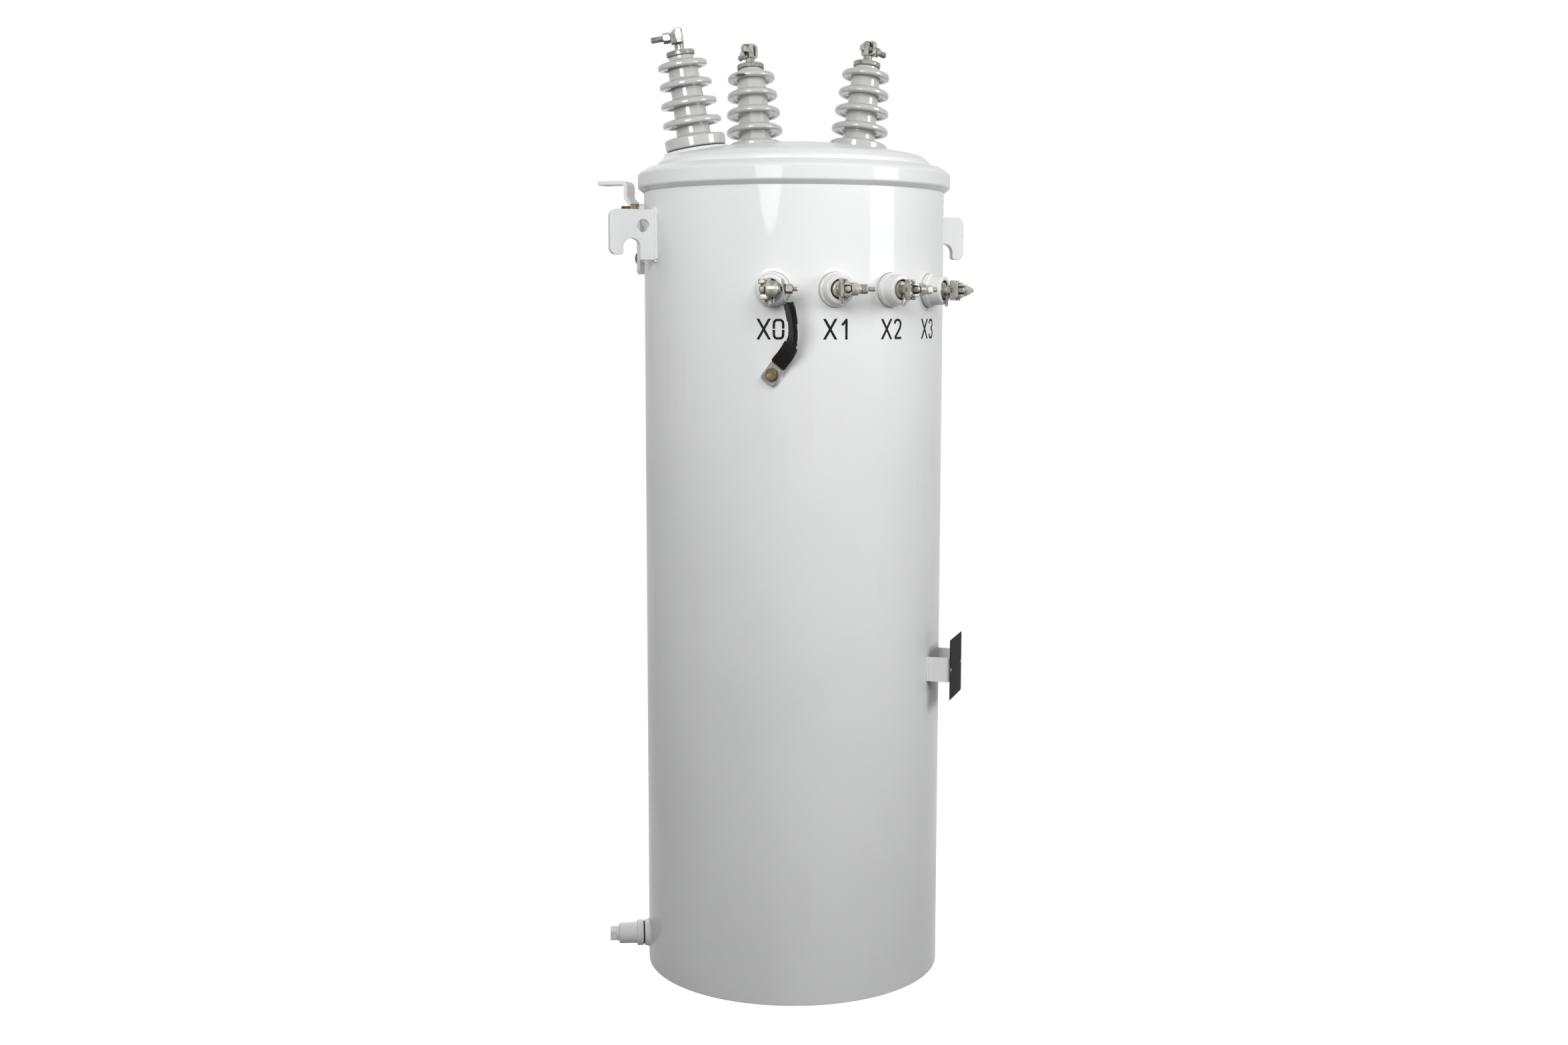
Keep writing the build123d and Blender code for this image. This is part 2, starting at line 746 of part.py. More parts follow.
save(lug_part(-lug_azimuth), "lifting_lug_left")
save(lug_part(lug_azimuth), "lifting_lug_right")

# ---------------------------------------------------------------- arrester bracket

bracket_plane = side_plane(arrester_azimuth)

with BuildPart() as arrester_bracket:
    with BuildSketch(bracket_plane):
        with BuildLine():
            Polyline(
                (arrester_tab_reach, arrester_tab_top - arrester_bar / 2),
                (arrester_upright - arrester_bar / 2, arrester_tab_top - arrester_bar / 2),
                (arrester_upright - arrester_bar / 2, tank_height - arrester_jog_start),
                (arrester_leg - arrester_bar / 2, tank_height - arrester_jog_end),
                (arrester_leg - arrester_bar / 2, arrester_foot),
            )
            offset(amount=arrester_bar / 2, kind=Kind.INTERSECTION)
        make_face()
    extrude(amount=arrester_width / 2, both=True)
    with BuildSketch(Plane.XY.offset(arrester_tab_top)):
        turn = math.radians(arrester_azimuth)
        reach = tank_radius + arrester_tab_reach - arrester_hole_inset
        with Locations((reach * math.sin(turn), -reach * math.cos(turn))):
            Circle(arrester_hole_radius)
    extrude(amount=-arrester_bar, mode=Mode.SUBTRACT)
save(arrester_bracket, "arrester_bracket")

with BuildPart() as arrester_bolts:
    for drop in (0, arrester_bolt_pitch):
        face = wall_plane(arrester_azimuth, arrester_bolt_height + drop, arrester_leg + seat_gap)
        with BuildSketch(face):
            RegularPolygon(radius=arrester_bolt_flats / 2, side_count=6, major_radius=False)
        extrude(amount=arrester_bolt_head)
save(arrester_bolts, "arrester_bolts")

# ---------------------------------------------------------------- wall grounding stud

with BuildPart() as ground_stud:
    stud_plane = wall_plane(stud_azimuth, stud_height)
    with BuildSketch(stud_plane.offset(stud_pad_length + seat_gap)):
        Circle(stud_radius)
    extrude(amount=stud_reach - stud_pad_length - seat_gap)
    with BuildSketch(stud_plane.offset(stud_pad_length + seat_gap)):
        RegularPolygon(radius=stud_nut_flats / 2, side_count=6, major_radius=False)
    extrude(amount=stud_nut_end - stud_pad_length - seat_gap)
save(ground_stud, "ground_stud")

# ---------------------------------------------------------------- drain valve

drain_plane = wall_plane(drain_azimuth, drain_height)
drain_seal_start = drain_boss_length + seat_gap
drain_collar_start = drain_seal_start + drain_seal_thickness
drain_body_start = drain_collar_start + drain_collar_length
drain_nose_start = drain_body_start + drain_body_length
drain_plug_start = drain_nose_start + drain_nose_length

with BuildPart() as drain_seal:
    with BuildSketch(drain_plane.offset(drain_seal_start)):
        Circle(drain_seal_radius)
    extrude(amount=drain_seal_thickness)
save(drain_seal, "drain_seal")

with BuildPart() as drain_valve:
    with BuildSketch(drain_plane.offset(drain_collar_start)):
        Circle(drain_collar_radius)
    extrude(amount=drain_collar_length)
    with BuildSketch(drain_plane.offset(drain_body_start)):
        Circle(drain_body_radius)
    extrude(amount=drain_body_length)
    with BuildSketch(drain_plane.offset(drain_nose_start)):
        Circle(drain_nose_radius)
    extrude(amount=drain_nose_length)
save(drain_valve, "drain_valve")

with BuildPart() as drain_plug:
    with BuildSketch(drain_plane.offset(drain_plug_start + seat_gap)):
        RegularPolygon(radius=drain_plug_flats / 2, side_count=6, major_radius=False)
    extrude(amount=drain_plug_length)
save(drain_plug, "drain_plug")

# ---------------------------------------------------------------- nameplate

plate_plane = wall_plane(plate_azimuth, plate_middle)
strap_sag = tank_radius - math.sqrt(tank_radius**2 - (strap_span / 2) ** 2)

with BuildPart() as nameplate_bracket:
    across = Plane(origin=plate_plane.origin, x_dir=plate_plane.x_dir, z_dir=-plate_plane.y_dir)
    with BuildSketch(across):
        with BuildLine():
            Polyline(
                (-strap_span / 2 + strap_thickness / 2, -strap_sag + 1),
                (-strap_span / 2 + strap_thickness / 2, plate_standoff - strap_thickness / 2 - seat_gap),
                (strap_span / 2 - strap_thickness / 2, plate_standoff - strap_thickness / 2 - seat_gap),
                (strap_span / 2 - strap_thickness / 2, -strap_sag + 1),
            )
            offset(amount=strap_thickness / 2, kind=Kind.INTERSECTION)
        make_face()
    extrude(amount=strap_height / 2, both=True)
    for inset, bend in ((0, strap_bend), (strap_thickness, strap_bend - strap_thickness)):
        corner_reach = tank_radius + plate_standoff - seat_gap - inset
        corner_edges = nameplate_bracket.edges().filter_by(Axis.Z).filter_by(
            lambda edge: abs(edge.center().dot(plate_plane.z_dir) - corner_reach) < seat_gap / 2
        )
        fillet(corner_edges, radius=bend)
    with BuildSketch(Plane.XY.offset(plate_middle - strap_height)):
        Circle(tank_radius)
    extrude(amount=2 * strap_height, mode=Mode.SUBTRACT)
save(nameplate_bracket, "nameplate_bracket")

with BuildPart() as nameplate:
    with BuildSketch(plate_plane.offset(plate_standoff)):
        RectangleRounded(plate_width, plate_height, radius=plate_corner)
    extrude(amount=plate_thickness)
save(nameplate, "nameplate")

# ---------------------------------------------------------------- ground pad and link

ground_azimuth = lv_azimuths[0]
ground_plane = wall_plane(ground_azimuth, ground_height)

lug_face = ground_pad_length + seat_gap

with BuildPart() as link_lugs:
    with BuildSketch(across_plane(ground_azimuth, lug_seat)):
        with Locations((lv_rod_height, link_lug_drop / 2)):
            Rectangle(link_lug_width, link_lug_drop + link_lug_width)
        with Locations((lv_rod_height, 0)):
            Circle(lv_rod_radius + seat_gap, mode=Mode.SUBTRACT)
    extrude(amount=link_lug_thickness)
    with BuildSketch(ground_plane.offset(lug_face)):
        with Locations(Location((0, 0), link_lean)):
            Rectangle(link_pad_length, link_pad_width)
        Circle(ground_bolt_radius + seat_gap, mode=Mode.SUBTRACT)
    extrude(amount=link_lug_thickness)
save(link_lugs, "link_lugs")

with BuildPart() as ground_bolt:
    bolt_face = ground_plane.offset(lug_face + link_lug_thickness + seat_gap)
    with BuildSketch(bolt_face):
        RegularPolygon(radius=ground_bolt_flats / 2, side_count=6, major_radius=False)
    extrude(amount=ground_bolt_head)
    with BuildSketch(bolt_face):
        Circle(ground_bolt_radius)
    extrude(amount=-link_lug_thickness - seat_gap)
save(ground_bolt, "ground_bolt")

link_turn = math.radians(link_lean)
link_foot_reach = link_pad_length / 2 + seat_gap
link_top_height = lv_height - ground_height - link_lug_drop - link_lug_width / 2 - seat_gap
link_foot = (
    link_foot_reach * math.cos(link_turn),
    link_foot_reach * math.sin(link_turn),
    lug_face + link_lug_thickness / 2,
)
link_top = (lug_seat + link_lug_thickness / 2 + link_top_shift, link_top_height, lv_rod_height)


def by_link(along, height, out, lean, rise):
    """Plane across the ground link: its middle from the ground pad, its lean and rise in degrees."""
    aside = math.radians(lean)
    outward = math.radians(rise)
    middle = (
        ground_plane.origin
        + along * ground_plane.x_dir
        + height * ground_plane.y_dir
        + out * ground_plane.z_dir
    )
    run = (
        math.cos(aside) * math.cos(outward) * ground_plane.x_dir
        + math.sin(aside) * math.cos(outward) * ground_plane.y_dir
        + math.sin(outward) * ground_plane.z_dir
    )
    across = math.sin(aside) * ground_plane.x_dir - math.cos(aside) * ground_plane.y_dir
    return Plane(origin=middle, x_dir=across, z_dir=run)


with BuildPart() as ground_link:
    with BuildSketch(by_link(*link_foot, link_lean, 0)):
        Rectangle(link_width, link_lug_thickness)
    with BuildSketch(by_link(0.8 * link_bow, 0.36 * link_top_height, 0.34 * lv_rod_height, 68, 40)):
        Rectangle(link_width, link_thickness)
    with BuildSketch(by_link(link_bow, 0.68 * link_top_height, 0.76 * lv_rod_height, 90, 32)):
        Rectangle(link_width, link_thickness)
    with BuildSketch(by_link(*link_top, 90, 0)):
        Rectangle(link_width, link_thickness)
    loft(ruled=True)
save(ground_link, "ground_link")

# ---------------------------------------------------------------- pole hangers


def hanger_part(height, open_below):
    """Welded hanger: two webs and a slotted face that hooks on a pole bolt."""
    face_plane = wall_plane(pole_side, height, hanger_depth)
    half = hanger_face_height / 2
    web_root = hanger_width / 4
    with BuildPart() as hanger:
        with BuildSketch(face_plane):
            RectangleRounded(hanger_width, hanger_face_height, radius=hanger_corner)
            if open_below:
                with Locations((0, -half / 2)):
                    Rectangle(hanger_slot_width, half, mode=Mode.SUBTRACT)
                Circle(hanger_slot_width / 2, mode=Mode.SUBTRACT)
            else:
                with Locations((0, -half / 3)):
                    Circle(hanger_hole_radius, mode=Mode.SUBTRACT)
                with Locations((0, 0)):
                    Rectangle(hanger_slot_width, 2 * half / 3, mode=Mode.SUBTRACT)
                with Locations((0, half / 3)):
                    Circle(hanger_slot_width / 2, mode=Mode.SUBTRACT)
        extrude(amount=-hanger_plate)
        for side in (-1, 1):
            web_plane = side_plane(pole_side, height).offset(side * (hanger_width / 2 - hanger_web_inset))
            with BuildSketch(web_plane):
                with BuildLine():
                    Polyline(
                        (-web_root, half - hanger_web_foot),
                        (hanger_depth - hanger_plate, half - hanger_web_tip),
                        (hanger_depth - hanger_plate, -half + hanger_web_tip),
                        (-web_root, -half + hanger_web_foot),
                        close=True,
                    )
                make_face()
            extrude(amount=hanger_web / 2, both=True)
        with BuildSketch(Plane.XY.offset(height - hanger_face_height)):
            Circle(tank_radius)
        extrude(amount=2 * hanger_face_height, mode=Mode.SUBTRACT)
    return hanger


save(hanger_part(hanger_upper, False), "hanger_upper")
save(hanger_part(hanger_upper - hanger_pitch, True), "hanger_lower")
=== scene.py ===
"""Looks of a pole mounted transformer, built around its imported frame.

Sizes are millimetres, and emit() turns them into metres when a mesh is made. The tank stands on z = 0
with its axis on z. An azimuth is in degrees: 0 faces -y, the low voltage side, 90 faces +x and 180 the pole.
"""

import json
import logging
import math
from collections.abc import Callable, Sequence
from dataclasses import dataclass, replace
from enum import Enum

import bmesh
import bpy
from mathutils import Matrix, Vector, noise


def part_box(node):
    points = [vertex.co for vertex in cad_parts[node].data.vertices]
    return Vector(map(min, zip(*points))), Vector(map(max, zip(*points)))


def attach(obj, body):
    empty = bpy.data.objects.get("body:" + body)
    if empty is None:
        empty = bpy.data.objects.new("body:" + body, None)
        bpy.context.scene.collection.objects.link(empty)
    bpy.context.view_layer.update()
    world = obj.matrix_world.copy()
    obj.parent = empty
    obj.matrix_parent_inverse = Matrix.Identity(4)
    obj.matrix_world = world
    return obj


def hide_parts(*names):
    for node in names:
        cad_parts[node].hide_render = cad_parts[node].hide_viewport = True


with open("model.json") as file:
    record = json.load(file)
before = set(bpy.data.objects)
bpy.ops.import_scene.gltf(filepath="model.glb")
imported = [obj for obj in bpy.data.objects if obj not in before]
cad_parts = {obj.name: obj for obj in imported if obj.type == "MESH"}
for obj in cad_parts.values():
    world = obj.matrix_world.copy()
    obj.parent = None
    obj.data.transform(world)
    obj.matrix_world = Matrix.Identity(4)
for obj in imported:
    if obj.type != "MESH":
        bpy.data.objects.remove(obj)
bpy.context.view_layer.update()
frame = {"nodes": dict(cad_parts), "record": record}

log = logging.getLogger("transformer")

MM = 0.001
TANK_RADIUS = 305.0
WALL_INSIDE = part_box("tank_bottom")[1].x / MM
Point = tuple[float, float]
Corner = tuple[float, float, float]
Rgb = tuple[float, float, float]


# ---------------------------------------------------------------- places


def direction(azimuth: float) -> Vector:
    """Unit vector outward from the tank's axis."""
    turn = math.radians(azimuth)
    return Vector((math.sin(turn), -math.cos(turn), 0))


def along(azimuth: float) -> Vector:
    """Unit vector along the wall, level, to the right of someone facing the tank."""
    turn = math.radians(azimuth)
    return Vector((math.cos(turn), math.sin(turn), 0))


def placed(origin: Vector, x: Vector, z: Vector) -> Matrix:
    """Makes a frame from its origin and two of its axes.

    Args:
        origin: where the frame's zero is, in millimetres.
        x: unit vector of its x axis.
        z: unit vector of its z axis, square to x.

    Returns:
        The matrix that takes the frame's coordinates to the tank's.
    """
    y = z.cross(x)
    return Matrix(((x.x, y.x, z.x, origin.x), (x.y, y.y, z.y, origin.y), (x.z, y.z, z.z, origin.z),
                   (0, 0, 0, 1)))


def wall(azimuth: float, height: float, reach: float = 0) -> Matrix:
    """Frame on the tank's wall: x along it, y up and z outward."""
    origin = direction(azimuth) * (TANK_RADIUS + reach) + Vector((0, 0, height))
    return placed(origin, along(azimuth), direction(azimuth))


def across(azimuth: float, height: float) -> Matrix:
    """Frame on the tank's wall: x outward, y down and z along the wall."""
    origin = direction(azimuth) * TANK_RADIUS + Vector((0, 0, height))
    return placed(origin, direction(azimuth), along(azimuth))


def beside(azimuth: float, height: float) -> Matrix:
    """Frame on the tank's wall: x outward, y up and z back along the wall."""
    origin = direction(azimuth) * TANK_RADIUS + Vector((0, 0, height))
    return placed(origin, direction(azimuth), -along(azimuth))


def moved(at: Matrix, x: float = 0, y: float = 0, z: float = 0) -> Matrix:
    """Frame moved along its own axes."""
    return at @ Matrix.Translation((x, y, z))


def turned(at: Matrix, angle: float) -> Matrix:
    """Frame turned about its own z axis, in degrees."""
    return at @ Matrix.Rotation(math.radians(angle), 4, "Z")


def squared(side: Vector, ahead: Vector) -> Vector:
    """Part of a vector that is square to a unit vector."""
    return side - ahead * side.dot(ahead)


def wall_fall(x: float) -> float:
    """How far the tank's wall falls back beside a point on it, as a negative height."""
    return math.sqrt(max(TANK_RADIUS**2 - x * x, 0)) - TANK_RADIUS


def eased(share: float) -> float:
    """Share held from 0 to 1, leaving 0 and reaching 1 gently."""
    share = min(max(share, 0), 1)
    return share * share * (3 - 2 * share)


def mounts(start: str) -> list[dict]:
    """The record's mounts whose names begin with start, in order."""
    return [mount for mount in frame["record"]["mounts"] if mount["name"].startswith(start)]


def azimuth_of(point: Sequence[float]) -> float:
    """Azimuth of a point or direction, in degrees."""
    return math.degrees(math.atan2(point[0], -point[1]))


def middle(node: str) -> Vector:
    """Middle of a frame node's box, in millimetres."""
    low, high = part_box(node)
    return (low + high) / 2 / MM


def wall_at(node: str) -> Matrix:
    """Frame on the tank's wall at a frame node's middle."""
    return wall(azimuth_of(middle(node)), middle(node).z)


# ---------------------------------------------------------------- outlines


def rounded(corners: Sequence[Corner], closed: bool = False, steps: int = 5) -> list[Point]:
    """Rounds the corners of a run of straight lines.

    Args:
        corners: x, y and the rounding radius of each corner.
        closed: whether the last corner joins the first.
        steps: pieces in each rounding.

    Returns:
        The points of the rounded run.
    """
    count = len(corners)
    points: list[Point] = []
    for index, (x, y, radius) in enumerate(corners):
        here = Vector((x, y))
        if radius <= 0 or (not closed and index in (0, count - 1)):
            points.append((x, y))
            continue
        back = Vector(corners[index - 1][:2]) - here
        onward = Vector(corners[(index + 1) % count][:2]) - here
        half = back.angle(onward) / 2
        if half > math.radians(89.5):
            points.append((x, y))
            continue
        length = min(radius / math.tan(half), 0.48 * back.length, 0.48 * onward.length)
        radius = length * math.tan(half)
        first = here + back.normalized() * length
        last = here + onward.normalized() * length
        centre = here + (back.normalized() + onward.normalized()).normalized() * (radius / math.sin(half))
        start = first - centre
        swing = start.angle_signed(last - centre)
        for step in range(steps + 1):
            angle = -swing * step / steps
            points.append(tuple(centre + Matrix.Rotation(angle, 2) @ start))
    return points


def box_ring(width: float, height: float, corner: float, steps: int = 3) -> list[Point]:
    """Closed outline of a rounded rectangle about its middle."""
    w, h = width / 2, height / 2
    return rounded([(-w, -h, corner), (w, -h, corner), (w, h, corner), (-w, h, corner)], True, steps)


def both_sides(half: Sequence[Corner]) -> list[Corner]:
    """Corners of an outline that is the same above and below its x axis, from those below."""
    return [*half, *((x, -y, radius) for x, y, radius in reversed(half))]


def ring_angles(count: int) -> list[float]:
    """Angles in radians of count points spread round a circle."""
    return [2 * math.pi * step / count for step in range(count)]


def circle(radius: float, count: int, x: float = 0, y: float = 0) -> list[Point]:
    """Closed outline of a circle about a point."""
    return [(x + radius * math.cos(a), y + radius * math.sin(a)) for a in ring_angles(count)]


def spaced(points: Sequence[Vector], gap: float, count: Callable[[float], int] = math.ceil) -> list[Vector]:
    """Adds points between the points of a run of lines.

    Args:
        points: the run's points.
        gap: distance from point to point.
        count: how each line's number of gaps becomes whole.

    Returns:
        The run with its new points.
    """
    dense = [points[0]]
    for start, end in zip(points, points[1:]):
        pieces = max(1, count((end - start).length / gap))
        dense += [start.lerp(end, step / pieces) for step in range(1, pieces + 1)]
    return dense


def heading(points: Sequence[Vector], index: int) -> Vector:
    """Way from the point before one of a run's points to the point after it."""
    return points[min(index + 1, len(points) - 1)] - points[max(index - 1, 0)]


# ---------------------------------------------------------------- meshes


def linked(name: str, data: bpy.types.ID) -> bpy.types.Object:
    """Puts a new object in the scene.

    Args:
        name: the object's name.
        data: the mesh, curve, lamp or camera that it holds.

    Returns:
        The object.
    """
    thing = bpy.data.objects.new(name, data)
    bpy.context.scene.collection.objects.link(thing)
    return thing


def evaluated(thing: bpy.types.Object) -> bpy.types.Mesh:
    """Mesh of an object with its modifiers, or its curve's thickness, applied."""
    bpy.context.view_layer.update()
    return bpy.data.meshes.new_from_object(thing.evaluated_get(bpy.context.evaluated_depsgraph_get()))


def emit(name: str, vertices: Sequence[Sequence[float]], faces: Sequence[Sequence[int]], at: Matrix,
         crease: float = 32) -> bpy.types.Object:
    """Makes a mesh object with smooth faces and sharp creases.

    Args:
        name: the piece's name.
        vertices: points in millimetres, in the frame at.
        faces: vertex numbers of each face.
        at: frame of the points.
        crease: angle in degrees past which an edge stays sharp.

    Returns:
        The new object, at the origin, with its place in its mesh.
    """
    mesh = bpy.data.meshes.new(name)
    mesh.from_pydata([tuple((at @ Vector(vertex)) * MM) for vertex in vertices], [], faces)
    mesh.validate()
    piece = linked(name, mesh)
    tidy(piece, crease)
    return piece


def tidy(piece: bpy.types.Object, crease: float) -> None:
    """Turns a piece's faces outward, and sets where its shading breaks.

    Args:
        piece: the mesh object.
        crease: angle in degrees past which an edge stays sharp.
    """
    sheet = bmesh.new()
    sheet.from_mesh(piece.data)
    bmesh.ops.remove_doubles(sheet, verts=sheet.verts, dist=1e-7)
    bmesh.ops.recalc_face_normals(sheet, faces=sheet.faces)
    sheet.to_mesh(piece.data)
    sheet.free()
    piece.data.shade_smooth()
    piece.data.set_sharp_from_angle(angle=math.radians(crease))


def settled(piece: bpy.types.Object) -> bpy.types.Object:
    """Applies a piece's modifiers, with normals weighted by area so that flat faces look flat.

    Args:
        piece: the mesh object.

    Returns:
        The same piece.
    """
    piece.modifiers.new("flat faces", "WEIGHTED_NORMAL").keep_sharp = True
    mesh = evaluated(piece)
    piece.modifiers.clear()
    old = piece.data
    piece.data = mesh
    bpy.data.meshes.remove(old)
    return piece


def joined(name: str, pieces: Sequence[bpy.types.Object]) -> bpy.types.Object:
    """Joins mesh pieces of one finish into one object.

    Args:
        name: the joined piece's name.
        pieces: the mesh objects, which are used up.

    Returns:
        The joined object.
    """
    for piece in bpy.context.selected_objects:
        piece.select_set(False)
    for piece in pieces:
        piece.select_set(True)
    bpy.context.view_layer.objects.active = pieces[0]
    bpy.ops.object.join()
    pieces[0].name = name
    pieces[0].data.name = name
    return pieces[0]


def lathe(name: str, profile: Sequence[Point], at: Matrix, segments: int = 96, closed: bool = False,
          sweep: tuple[float, float] = (0, 360), crease: float = 32, hug: float = 0) -> bpy.types.Object:
    """Turns a profile about a frame's z axis.

    Args:
        name: the piece's name.
        profile: radius and height of each point.
        at: frame whose z axis is the axis.
        segments: pieces round the whole circle.
        closed: whether the profile's last point joins its first.
        sweep: first and last angle in degrees.
        crease: angle past which an edge stays sharp.
        hug: height over which the shape goes from following the wall's curve to flat, 0 to leave it flat.

    Returns:
        The new object.
    """
    whole = sweep[1] - sweep[0] >= 360
    columns = segments if whole else max(2, round(segments * (sweep[1] - sweep[0]) / 360)) + 1
    vertices: list[Corner] = []
    for column in range(columns):
        share = column / (columns if whole else columns - 1)
        angle = math.radians(sweep[0] + share * (sweep[1] - sweep[0]))
        for radius, height in profile:
            x = radius * math.cos(angle)
            share = max(0.0, 1 - max(0.0, height) / hug) if hug else 0
            vertices.append((x, radius * math.sin(angle), height + share * wall_fall(x)))
    rows = len(profile)
    faces: list[Sequence[int]] = []
    for column in range(columns if whole else columns - 1):
        here, onward = column * rows, (column + 1) % columns * rows
        for row in range(rows if closed else rows - 1):
            above = (row + 1) % rows
            faces.append((here + row, onward + row, onward + above, here + above))
    if not whole:
        faces.append(list(range(rows)))
        faces.append([(columns - 1) * rows + row for row in reversed(range(rows))])
    return settled(emit(name, vertices, faces, at, crease))


def loft(name: str, rings: Sequence[Sequence[Corner]], at: Matrix, crease: float = 32) -> bpy.types.Object:
    """Joins closed rings of equal length into a capped solid.

    Args:
        name: the piece's name.
        rings: points of each ring, in order.
        at: frame of the points.
        crease: angle past which an edge stays sharp.

    Returns:
        The new object, with its flat faces shaded flat.
    """
    size = len(rings[0])
    vertices = [point for ring in rings for point in ring]
    faces: list[Sequence[int]] = [tuple(reversed(range(size)))]
    for ring in range(len(rings) - 1):
        low, high = ring * size, (ring + 1) * size
        for step in range(size):
            onward = (step + 1) % size
            faces.append((low + step, low + onward, high + onward, high + step))
    faces.append(tuple((len(rings) - 1) * size + step for step in range(size)))
    return settled(emit(name, vertices, faces, at, crease))


def plate(name: str, outlines: Sequence[Sequence[Point]], depth: tuple[float, float], at: Matrix,
          edge: float = 0.6) -> bpy.types.Object:
    """Cuts a flat plate from outlines and rounds its edges.

    Args:
        name: the piece's name.
        outlines: the outer outline, then one outline for each hole.
        depth: z of its back and front faces.
        at: frame whose x and y axes hold the outlines.
        edge: rounding of its edges.

    Returns:
        The new object.
    """
    curve = bpy.data.curves.new(name, "CURVE")
    curve.dimensions = "2D"
    curve.fill_mode = "BOTH"
    curve.bevel_depth = edge
    curve.bevel_resolution = 2
    curve.offset = -edge
    curve.extrude = (depth[1] - depth[0]) / 2 - edge
    for outline in outlines:
        spline = curve.splines.new("POLY")
        spline.points.add(len(outline) - 1)
        spline.points.foreach_set("co", [value for x, y in outline for value in (x, y, 0, 1)])
        spline.use_cyclic_u = True
    shape = linked(name, curve)
    mesh = evaluated(shape)
    bpy.data.objects.remove(shape)
    mesh.transform(Matrix.Scale(MM, 4) @ moved(at, z=(depth[0] + depth[1]) / 2))
    piece = linked(name, mesh)
    tidy(piece, 50)
    return settled(piece)


def strap(name: str, line: Sequence[Corner], width: Callable[[float], float], thickness: float, at: Matrix,
          edge: float = 1) -> bpy.types.Object:
    """Bends a flat bar along a line in a frame's x and z, with its width across y.

    Args:
        name: the piece's name.
        line: x, z and bend radius of each corner of the bar's middle line.
        width: the bar's width at a distance from its start.
        thickness: the bar's thickness.
        at: frame of the line.
        edge: rounding of its edges.

    Returns:
        The new object.
    """
    points = [Vector(point) for point in rounded(line, steps=8)]
    dense = spaced(points, 6)
    dense[1:1] = [dense[0].lerp(dense[1], share) for share in (0.02, 0.08, 0.2, 0.4, 0.65)]
    rings = []
    travelled = 0.0
    for index, point in enumerate(dense):
        ahead = heading(dense, index)
        normal = Vector((-ahead.y, ahead.x)).normalized()
        if index:
            travelled += (point - dense[index - 1]).length
        ring = box_ring(width(travelled), thickness, edge, 2)
        rings.append([(point.x + normal.x * v, u, point.y + normal.y * v) for u, v in ring])
    return loft(name, rings, at, 40)


def bead(name: str, path: Sequence[Vector], radius: float, pitch: float = 5) -> bpy.types.Object:
    """Lays a rippled weld bead along a path.

    Args:
        name: the piece's name.
        path: points along the weld, in millimetres.
        radius: half the bead's width.
        pitch: distance between ripples.

    Returns:
        The new object.
    """
    dense = spaced(path, pitch / 5, round)
    rings = []
    travelled = 0.0
    side = Vector((0, 0, 1))
    angles = ring_angles(10)
    for index, point in enumerate(dense):
        ahead = heading(dense, index).normalized()
        side = squared(side, ahead)
        side = side.normalized() if side.length > 0.01 else ahead.orthogonal().normalized()
        other = ahead.cross(side)
        travelled += (point - dense[max(index - 1, 0)]).length
        wave = abs(math.sin(math.pi * travelled / pitch))
        swell = radius * (0.86 + 0.14 * wave + 0.1 * noise.noise(point * 0.11))
        if index in (0, len(dense) - 1):
            swell *= 0.35
        rings.append([tuple(point + swell * (math.cos(a) * side + math.sin(a) * other)) for a in angles])
    return loft(name, rings, Matrix(), 60)


def thread(name: str, at: Matrix, start: float, end: float, radius: float, pitch: float) -> bpy.types.Object:
    """Makes a threaded rod with a chamfered tip.

    Args:
        name: the piece's name.
        at: frame whose z axis is the rod's.
        start: z of its root.
        end: z of its tip.
        radius: outside radius of the thread.
        pitch: distance from ridge to ridge.

    Returns:
        The new object.
    """
    depth = 0.5 * pitch
    rows = math.ceil((end - start) / (pitch / 6))
    sides = 28
    rings = []
    for row in range(rows + 1):
        height = start + (end - start) * row / rows
        limit = min(radius, radius - depth - 0.8 + 0.9 * (end - height))
        ring = []
        for step, angle in enumerate(ring_angles(sides)):
            phase = (height / pitch - step / sides) % 1
            ridge = 1 - abs(2 * phase - 1)
            swell = min(radius - depth + depth * min(1, 1.25 * ridge), limit)
            ring.append((swell * math.cos(angle), swell * math.sin(angle), height))
        rings.append(ring)
    return loft(name, rings, at, 60)


def hexagon(name: str, at: Matrix, flats: float, depth: tuple[float, float],
            chamfers: tuple[bool, bool] = (True, True), washer: float = 0) -> bpy.types.Object:
    """Makes a hexagon nut or bolt head with turned corners.

    Args:
        name: the piece's name.
        at: frame whose z axis is the nut's.
        flats: distance across its flats.
        depth: z of its two faces.
        chamfers: whether the first and second faces have turned corners.
        washer: thickness of a washer face under it.

    Returns:
        The new object.
    """
    sides = 72
    low, high = depth[0] + washer, depth[1]
    tall = high - low
    rows = [(depth[0], True), (low, True)] if washer else []
    shares = (0, 0.025, 0.05, 0.09, 0.13, 0.5, 0.87, 0.91, 0.95, 0.975, 1)
    rows += [(low + tall * share, False) for share in shares]
    rings = []
    for height, plain in rows:
        ring = []
        for angle in ring_angles(sides):
            offset = (angle + math.pi / 6) % (math.pi / 3) - math.pi / 6
            reach = flats / 2 * 0.93 if plain else flats / 2 / math.cos(offset)
            if chamfers[0] and not plain:
                reach = min(reach, flats / 2 * 0.96 + (height - low) * 1.7)
            if chamfers[1]:
                reach = min(reach, flats / 2 * 0.96 + (high - height) * 1.7)
            ring.append((reach * math.cos(angle), reach * math.sin(angle), height))
        rings.append(ring)
    return loft(name, rings, at, 28)


